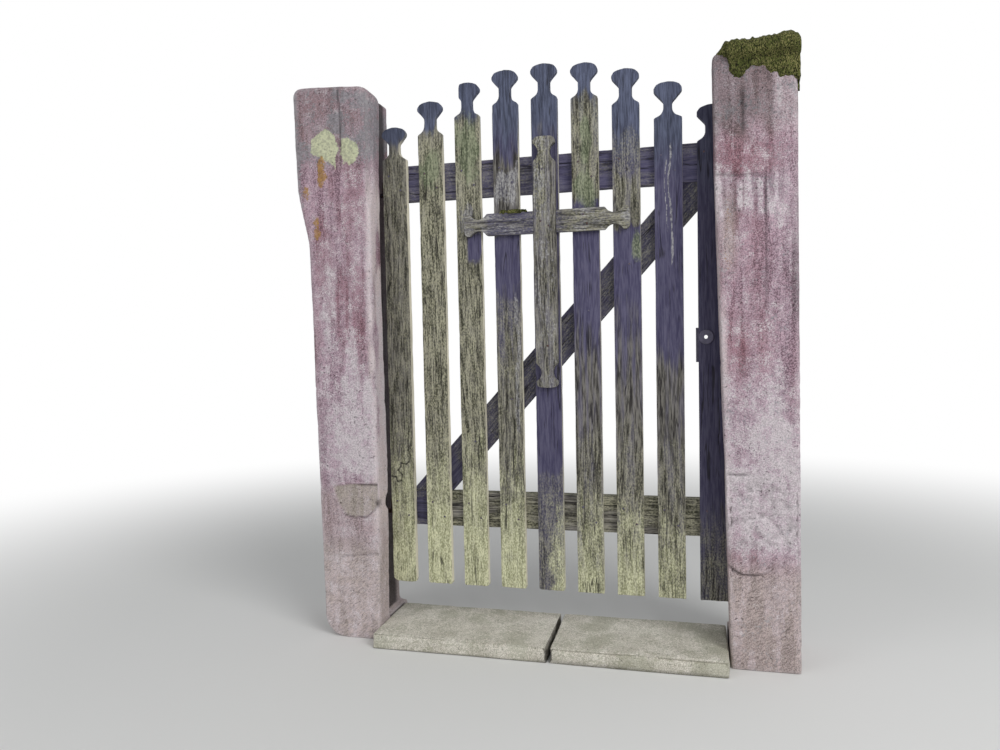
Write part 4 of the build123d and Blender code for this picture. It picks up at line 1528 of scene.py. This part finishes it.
class GATE_OT_pickets(bpy.types.Operator):
    """Lay a weathered board over each picket"""

    bl_idname = "gate.pickets"
    bl_label = "Pickets"

    def execute(self, context):
        settings = context.scene.gate_timber
        for number, weather in enumerate(PICKET_WEATHER, 1):
            board = Picket(number, 17 * number, weather["worn"])
            board.splits = PICKET_SPLITS[number]
            board.crack = PICKET_CRACKS.get(number, [])
            if number == len(PICKET_WEATHER):
                low, high = box_mm("spindle_rosette")
                centre = (low + high) / 2 - np.array(board.place.translation)
                board.hole = (centre[0], centre[2], SPINDLE_RADIUS)
            material = timber_material(f"picket_wood_{number}", settings, *weather["shades"])
            show(board.mesh(settings, picket_finish), "leaf", "picket_wood", material, f"picket_{number}")
        return {"FINISHED"}


def lying(low, high):
    """Turns a board to lie along the gateway, its upper side being the board's left."""
    place = Matrix(((0, 0, 1), (0, 1, 0), (-1, 0, 0))).to_4x4()
    place.translation = (low[0], low[1], (low[2] + high[2]) / 2)
    return place


def brace_line():
    """Middle of the brace's foot and head, and the level length of its cut ends, in millimetres."""
    low, high = box_mm("brace")
    corners = np.array([tuple(vertex.co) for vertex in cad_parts["brace"].data.vertices]) / MM
    foot = corners[corners[:, 2] < low[2] + 1][:, 0]
    head = corners[corners[:, 2] > high[2] - 1][:, 0]
    start = np.array([(foot.min() + foot.max()) / 2, low[1], low[2]])
    end = np.array([(head.min() + head.max()) / 2, low[1], high[2]])
    return start, end, foot.max() - foot.min()


# The rails: node, seed, and how bright the stain and the bare grain are; and the splits of both
RAILS = (("top_rail", 211, 1.25, 1.1), ("bottom_rail", 223, 0.85, 1.08))
RAIL_SPLITS = [
    (-30, 300, 900, 1.6, 9),
    (4, 700, 1150, 1.6, 9),
    (38, 40, 420, 1.6, 9),
    (-12, 60, 330, 1.5, 9),
]


class GATE_OT_rails(bpy.types.Operator):
    """Lay weathered boards over the rails and the brace"""

    bl_idname = "gate.rails"
    bl_label = "Rails and brace"

    def execute(self, context):
        settings = context.scene.gate_timber
        for node, seed, *shades in RAILS:
            low, high = box_mm(node)
            size = high - low
            board = Board(f"{node}_board", size[2], size[1], size[0], lying(low, high), seed, 1.3)
            board.splits = RAIL_SPLITS
            material = timber_material(f"{node}_wood", settings, *shades)
            show(board.mesh(settings, rail_finish), "leaf", "rail_wood", material, node)
        low, high = box_mm("brace")
        start, end, cut = brace_line()
        run = (end - start) / np.linalg.norm(end - start)
        side = np.array([run[2], 0, -run[0]])
        width = cut * run[2]
        slope = run[0] / run[2]
        length = np.linalg.norm(end - start) + width * slope
        origin = start - run * width / 2 * slope
        place = Matrix([[side[i], (0, 1, 0)[i], run[i], origin[i]] for i in range(3)] + [[0, 0, 0, 1]])
        board = Brace("brace_board", width, high[1] - low[1], length, place, 239, slope)
        board.splits = [(10, 500, 1000, 1.6, 9)]
        material = timber_material("brace_wood", settings, 0.72, 0.75)
        show(board.mesh(settings, rail_finish), "leaf", "rail_wood", material, "brace")
        return {"FINISHED"}


class GATE_OT_cross(bpy.types.Operator):
    """Lay weathered boards over the two boards of the cross"""

    bl_idname = "gate.cross"
    bl_label = "Cross"

    def execute(self, context):
        settings = context.scene.gate_timber
        material = timber_material("cross_wood", settings, 0.95, 0.9)
        arm_low, arm_high = box_mm("cross_arm")
        up_low, up_high = box_mm("cross_upright")
        halving = (up_low[0] - HALVING_GAP - arm_low[0], up_high[0] + HALVING_GAP - arm_low[0])
        size = arm_high - arm_low
        place = lying(arm_low, arm_high)
        arm = KnobbedBoard("cross_arm_board", size[2], size[1], size[0], place, 251, halving, False)
        arm.splits = [(-8, 60, 300, 1.5, 9), (16, 380, 560, 1.4, 9)]
        show(arm.mesh(settings, cross_finish), "leaf", "cross_wood", material, "cross_arm")
        place = Matrix.Translation(((up_low[0] + up_high[0]) / 2, up_low[1], up_low[2]))
        halving = (arm_low[2] - HALVING_GAP - up_low[2], arm_high[2] + HALVING_GAP - up_low[2])
        size = up_high - up_low
        upright = KnobbedBoard("cross_upright_board", size[0], size[1], size[2], place, 263, halving, True)
        upright.splits = [(-6, 120, 430, 1.5, 9)]
        show(upright.mesh(settings, cross_finish), "leaf", "cross_wood", material, "cross_upright")
        return {"FINISHED"}


class GATE_OT_posts(bpy.types.Operator):
    """Hew the two posts out of sandstone"""

    bl_idname = "gate.posts"
    bl_label = "Posts"

    def execute(self, context):
        settings = context.scene.gate_stone
        material = post_material("sandstone", settings)
        for node, carve, seed in (("left_post", hinge_post_carve, 61), ("right_post", latch_post_carve, 71)):
            show(worn_stone(node, settings, carve, seed), "gateway", "sandstone", material, node)
        return {"FINISHED"}


class GATE_OT_sill(bpy.types.Operator):
    """Wear the two stones of the sill"""

    bl_idname = "gate.sill"
    bl_label = "Sill"

    def execute(self, context):
        settings = context.scene.gate_stone
        material = sill_material("sill_stone", settings)
        for node, seed in (("sill_left", 81), ("sill_right", 83)):
            show(worn_stone(node, settings, sill_carve, seed), "gateway", "sill_stone", material, node)
        return {"FINISHED"}


# The moss on the latch post's street side: places along the gateway, its lower border and its top
MOSS_ACROSS = (1326, 1348, 1362, 1372, 1390, 1408, 1426, 1450, 1474, 1492, 1510, 1533, 1563, 1588)
MOSS_BORDER = (2000, 1994, 1980, 1934, 1923, 1924, 1938, 1948, 1939, 1925, 1911, 1908, 1914, 1880)
MOSS_TOP = (2021, 2031, 2033, 2034, 2036, 2037, 2037, 2039, 2041, 2043, 2044, 2045, 2046, 2026)

# Height of the moss on the post that these borders are drawn for, and how far it stays inside the
# box of the solids, in metres
MOSS_RISE = 0.038
BOX_GAP = 0.0004


class GATE_OT_moss(bpy.types.Operator):
    """Grow moss on the latch post's head and on the cross's arm"""

    bl_idname = "gate.moss"
    bl_label = "Moss"

    def execute(self, context):
        settings = context.scene.gate_moss
        material = moss_material("moss", settings)
        low, high = box_mm("right_post")
        front, back, top = low[1] + 3, high[1] - 3, high[2] - 3
        path = bent_path([(front, top - 140), (front, top), (back, top), (back, top - 60)], 4.0, 14)

        def post_rise(base):
            border = np.interp(base[:, 0], MOSS_ACROSS, MOSS_BORDER) + 40 * (layered(base, 18, 501, 3) - 0.5)
            over = base[:, 2] - border - 12 * (base[:, 1] > 0)
            full = (np.interp(base[:, 0], MOSS_ACROSS, MOSS_TOP) - top + 6) * settings.post_rise / MOSS_RISE
            on_top = ease(base[:, 2], top - 40, top)
            sheet = (8 + (full - 8) * on_top) * ease(over, 0, 26)
            ends = ease(base[:, 0], 1326, 1350)
            return np.where(over > 0, sheet * ends, -12)

        head_x = np.arange(1330, high[0] - 4, 3.6)
        mesh = moss_sheet("post_moss", path, head_x, post_rise, 511)
        lowest, highest = np.array(CAD_BOX[0]) + BOX_GAP, np.array(CAD_BOX[1]) - BOX_GAP
        write_points(mesh, np.clip(read_points(mesh), lowest, highest))
        show(mesh, "gateway", "sandstone", material)

        low, high = box_mm("cross_arm")
        upright_low, _ = box_mm("cross_upright")
        arm_front, arm_back, arm_top = low[1] + 1, high[1] - 1, high[2] - 1
        path = bent_path([(arm_front, arm_top - 4), (arm_front, arm_top), (arm_back, arm_top)], 1.6, 2)

        def arm_rise(base):
            tufts = layered(base, 16, 521, 2) + 0.12 * ease(base[:, 2], high[2] - 4, high[2])
            span = within(base[:, 0], 580, 690, 14)
            return np.where(tufts * span > 0.44, settings.arm_rise / MM * ease(tufts * span, 0.42, 0.6), -3)

        across = np.arange(low[0] + 105, upright_low[0] - 2, 1.8)
        show(moss_sheet("arm_moss", path, across, arm_rise, 531), "leaf", "cross_wood", material)
        return {"FINISHED"}


# Thickness of the straps in millimetres, width of the worn edges in metres, and the iron's specular level
STRAP_THICKNESS = 6
IRON_BEVEL = 0.0007
IRON_GLOSS = 0.5


class GATE_OT_ironwork(bpy.types.Operator):
    """Finish the hinges and the lock, and drive in the bolts and nails"""

    bl_idname = "gate.ironwork"
    bl_label = "Ironwork"

    def execute(self, context):
        settings = context.scene.gate_iron
        painted = iron_material("painted_iron", settings, 0.85)
        rusty = iron_material("rusty_iron", settings, 0.3)
        nails = iron_material("nail_iron", settings, 0.5)
        finishes = {"lock_case": painted, "spindle_rosette": painted}
        for node in ("upper_strap", "lower_strap", "upper_pintle", "lower_pintle", "keep_plate", "lock_bolt"):
            finishes[node] = rusty
        for node, material in finishes.items():
            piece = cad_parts[node]
            piece.data.materials.clear()
            piece.data.materials.append(material)
            bevel = piece.modifiers.new("Worn edges", "BEVEL")
            bevel.width = IRON_BEVEL
            bevel.segments = 2
            bevel.limit_method = "ANGLE"
        bolts = []
        back = box_mm("top_rail")[1][1] + STRAP_THICKNESS
        for strap in ("upper_strap", "lower_strap"):
            low, high = box_mm(strap)
            for part in (0.2, 0.42, 0.64, 0.86):
                bolts.append((low[0] + part * (high[0] - low[0]), back, (low[2] + high[2]) / 2))
        mesh = studs("strap_bolts", bolts, settings.bolt_radius / MM, 5, 1, 20)
        show(mesh, "leaf", "iron", rusty)
        show(self.nails(settings), "leaf", "iron", nails)
        return {"FINISHED"}

    def nails(self, settings):
        """Two nails where each picket crosses a rail, one where it crosses the brace, and the cross's own."""
        places = []
        start, end, _ = brace_line()
        rails = [sum(box_mm(rail)) / 2 for rail in ("bottom_rail", "top_rail")]
        for number in range(1, len(PICKET_WEATHER) + 1):
            low, high = box_mm(f"picket_{number}")
            centre = (low[0] + high[0]) / 2
            for rail in rails:
                places += [(centre - 24, low[1], rail[2] + 28), (centre + 22, low[1], rail[2] - 26)]
            part = (centre - start[0]) / (end[0] - start[0])
            if 0.08 < part < 0.92:
                places.append((centre + 6, low[1], start[2] + part * (end[2] - start[2])))
        low, high = box_mm("cross_arm")
        middle = (low[2] + high[2]) / 2
        places += [(x, low[1], middle + off) for x, off in ((600, 16), (612, -18), (884, 18), (897, -15))]
        low, high = box_mm("cross_upright")
        centre = (low[0] + high[0]) / 2
        places += [(centre + off, low[1], z) for off, z in ((-14, 1520), (15, 1502), (4, 1080), (-6, 1700))]
        return studs("front_nails", places, settings.nail_radius / MM, 1.3, -1, 12)


# Middle of the gate, along the gateway, in metres
GATE_MIDDLE_X = 0.75


class GATE_OT_stage(bpy.types.Operator):
    """Set the floor, the soft lamps and the camera"""

    bl_idname = "gate.stage"
    bl_label = "Stage"

    def execute(self, context):
        settings = context.scene.gate_stage
        scene = context.scene
        make_floor(settings)
        make_sky(scene, settings)
        make_lamps(settings)
        make_camera(scene)
        scene.view_settings.view_transform = "Standard"
        return {"FINISHED"}


def seen_ray(tree):
    """1 for the rays that see the background itself, straight, in a reflection or through glass."""
    path = tree.add("ShaderNodeLightPath", {}).outputs
    seen = tree.math("ADD", path["Is Camera Ray"], path["Is Glossy Ray"])
    return tree.math("ADD", seen, path["Is Transmission Ray"], clamp=True)


def make_floor(settings):
    """A pale round floor that turns white towards its rim."""
    builder = bmesh.new()
    bmesh.ops.create_circle(builder, cap_ends=True, radius=settings.floor_radius, segments=96)
    mesh = bpy.data.meshes.new("floor")
    builder.to_mesh(mesh)
    builder.free()
    material, tree, shader = new_material("floor")
    shader.inputs["Base Color"].default_value = (*settings.floor, 1)
    shader.inputs["Roughness"].default_value = 0.95
    inputs = {0: tree.place(), 1: (GATE_MIDDLE_X, 0, 0)}
    away = tree.add("ShaderNodeVectorMath", inputs, operation="DISTANCE").outputs["Value"]
    far = tree.times(tree.step(away, 1.6, 5.0), seen_ray(tree))
    white = tree.add("ShaderNodeEmission", {"Color": (1, 1, 1), "Strength": 1.0}).outputs[0]
    both = tree.add("ShaderNodeMixShader", {0: far, 1: shader.outputs[0], 2: white}).outputs[0]
    tree.put(material.node_tree.nodes["Material Output"].inputs["Surface"], both)
    mesh.materials.append(material)
    floor = new_object("floor", mesh)


def make_sky(scene, settings):
    """Even light from all round, and a white background behind the gate."""
    world = bpy.data.worlds.new("sky")
    world.use_nodes = True
    scene.world = world
    tree = Tree(world.node_tree)
    tree.tree.nodes.clear()
    inputs = {"Color": (0.96, 0.98, 1.0), "Strength": settings.sky}
    light = tree.add("ShaderNodeBackground", inputs).outputs[0]
    white = tree.add("ShaderNodeBackground", {"Color": (1, 1, 1), "Strength": 1.0}).outputs[0]
    both = tree.add("ShaderNodeMixShader", {0: seen_ray(tree), 1: light, 2: white}).outputs[0]
    tree.add("ShaderNodeOutputWorld", {"Surface": both})


def aim(place, target):
    """Turns a lamp at a place towards a target."""
    way = Vector(target) - Vector(place)
    return Matrix.Translation(place) @ way.to_track_quat("-Z", "Y").to_matrix().to_4x4()


def make_lamps(settings):
    """One large lamp high on the street side, and a weaker one across from it."""
    target = (GATE_MIDDLE_X, 0, 1.0)
    for name, place, size, power in (
        ("key_lamp", (4.3, -3.3, 3.6), 3.2, settings.key),
        ("fill_lamp", (-2.6, -3.8, 2.2), 2.8, settings.fill),
    ):
        lamp = bpy.data.lights.new(name, "AREA")
        lamp.shape = "DISK"
        lamp.size = size
        lamp.energy = power
        new_object(name, lamp).matrix_world = aim(place, target)


# The camera of the photograph: where it stands, how it is turned and how long its lens is
CAMERA_PLACE = (1.249, -2.706, 1.109)
CAMERA_TURN_LEFT = 14.304
CAMERA_TILT_DOWN = 2.76
CAMERA_ROLL = -1.183
CAMERA_LENS = 27.25


def make_camera(scene):
    """A camera with the photograph's viewpoint."""
    camera = bpy.data.cameras.new("camera")
    camera.lens = CAMERA_LENS
    camera.sensor_width = 36
    turn, tilt, roll = (math.radians(angle) for angle in (CAMERA_TURN_LEFT, CAMERA_TILT_DOWN, CAMERA_ROLL))
    ahead = Vector((-math.sin(turn) * math.cos(tilt), math.cos(turn) * math.cos(tilt), -math.sin(tilt)))
    level = Vector((math.cos(turn), math.sin(turn), 0))
    upward = level.cross(ahead)
    right = level * math.cos(roll) + upward * math.sin(roll)
    up = upward * math.cos(roll) - level * math.sin(roll)
    axes = Matrix((right, up, -ahead)).transposed().to_4x4()
    scene.camera = new_object("camera", camera)
    scene.camera.matrix_world = Matrix.Translation(CAMERA_PLACE) @ axes


class GATE_PT_panel(bpy.types.Panel):
    """Buttons for each group of pieces"""

    bl_idname = "GATE_PT_panel"
    bl_label = "Picket Gate"
    bl_space_type = "VIEW_3D"
    bl_region_type = "UI"
    bl_category = "Gate"

    def draw(self, context):
        for operator in OPERATORS:
            self.layout.operator(operator.bl_idname)
        for name in SETTINGS:
            box = self.layout.box()
            group = getattr(context.scene, name)
            for prop in group.bl_rna.properties:
                if prop.identifier not in ("rna_type", "name"):
                    box.prop(group, prop.identifier)


OPERATORS = (
    GATE_OT_pickets,
    GATE_OT_rails,
    GATE_OT_cross,
    GATE_OT_posts,
    GATE_OT_sill,
    GATE_OT_moss,
    GATE_OT_ironwork,
    GATE_OT_stage,
)
SETTINGS = {
    "gate_timber": GateTimberSettings,
    "gate_stone": GateStoneSettings,
    "gate_iron": GateIronSettings,
    "gate_moss": GateMossSettings,
    "gate_stage": GateStageSettings,
}


def register():
    for name, group in SETTINGS.items():
        bpy.utils.register_class(group)
        setattr(bpy.types.Scene, name, PointerProperty(type=group))
    for kind in (*OPERATORS, GATE_PT_panel):
        bpy.utils.register_class(kind)


def unregister():
    for kind in (GATE_PT_panel, *OPERATORS):
        bpy.utils.unregister_class(kind)
    for name, group in SETTINGS.items():
        delattr(bpy.types.Scene, name)
        bpy.utils.unregister_class(group)


def main():
    register()
    bpy.ops.gate.pickets()
    bpy.ops.gate.rails()
    bpy.ops.gate.cross()
    bpy.ops.gate.posts()
    bpy.ops.gate.sill()
    bpy.ops.gate.moss()
    bpy.ops.gate.ironwork()
    bpy.ops.gate.stage()


if __name__ == "__main__":
    main()
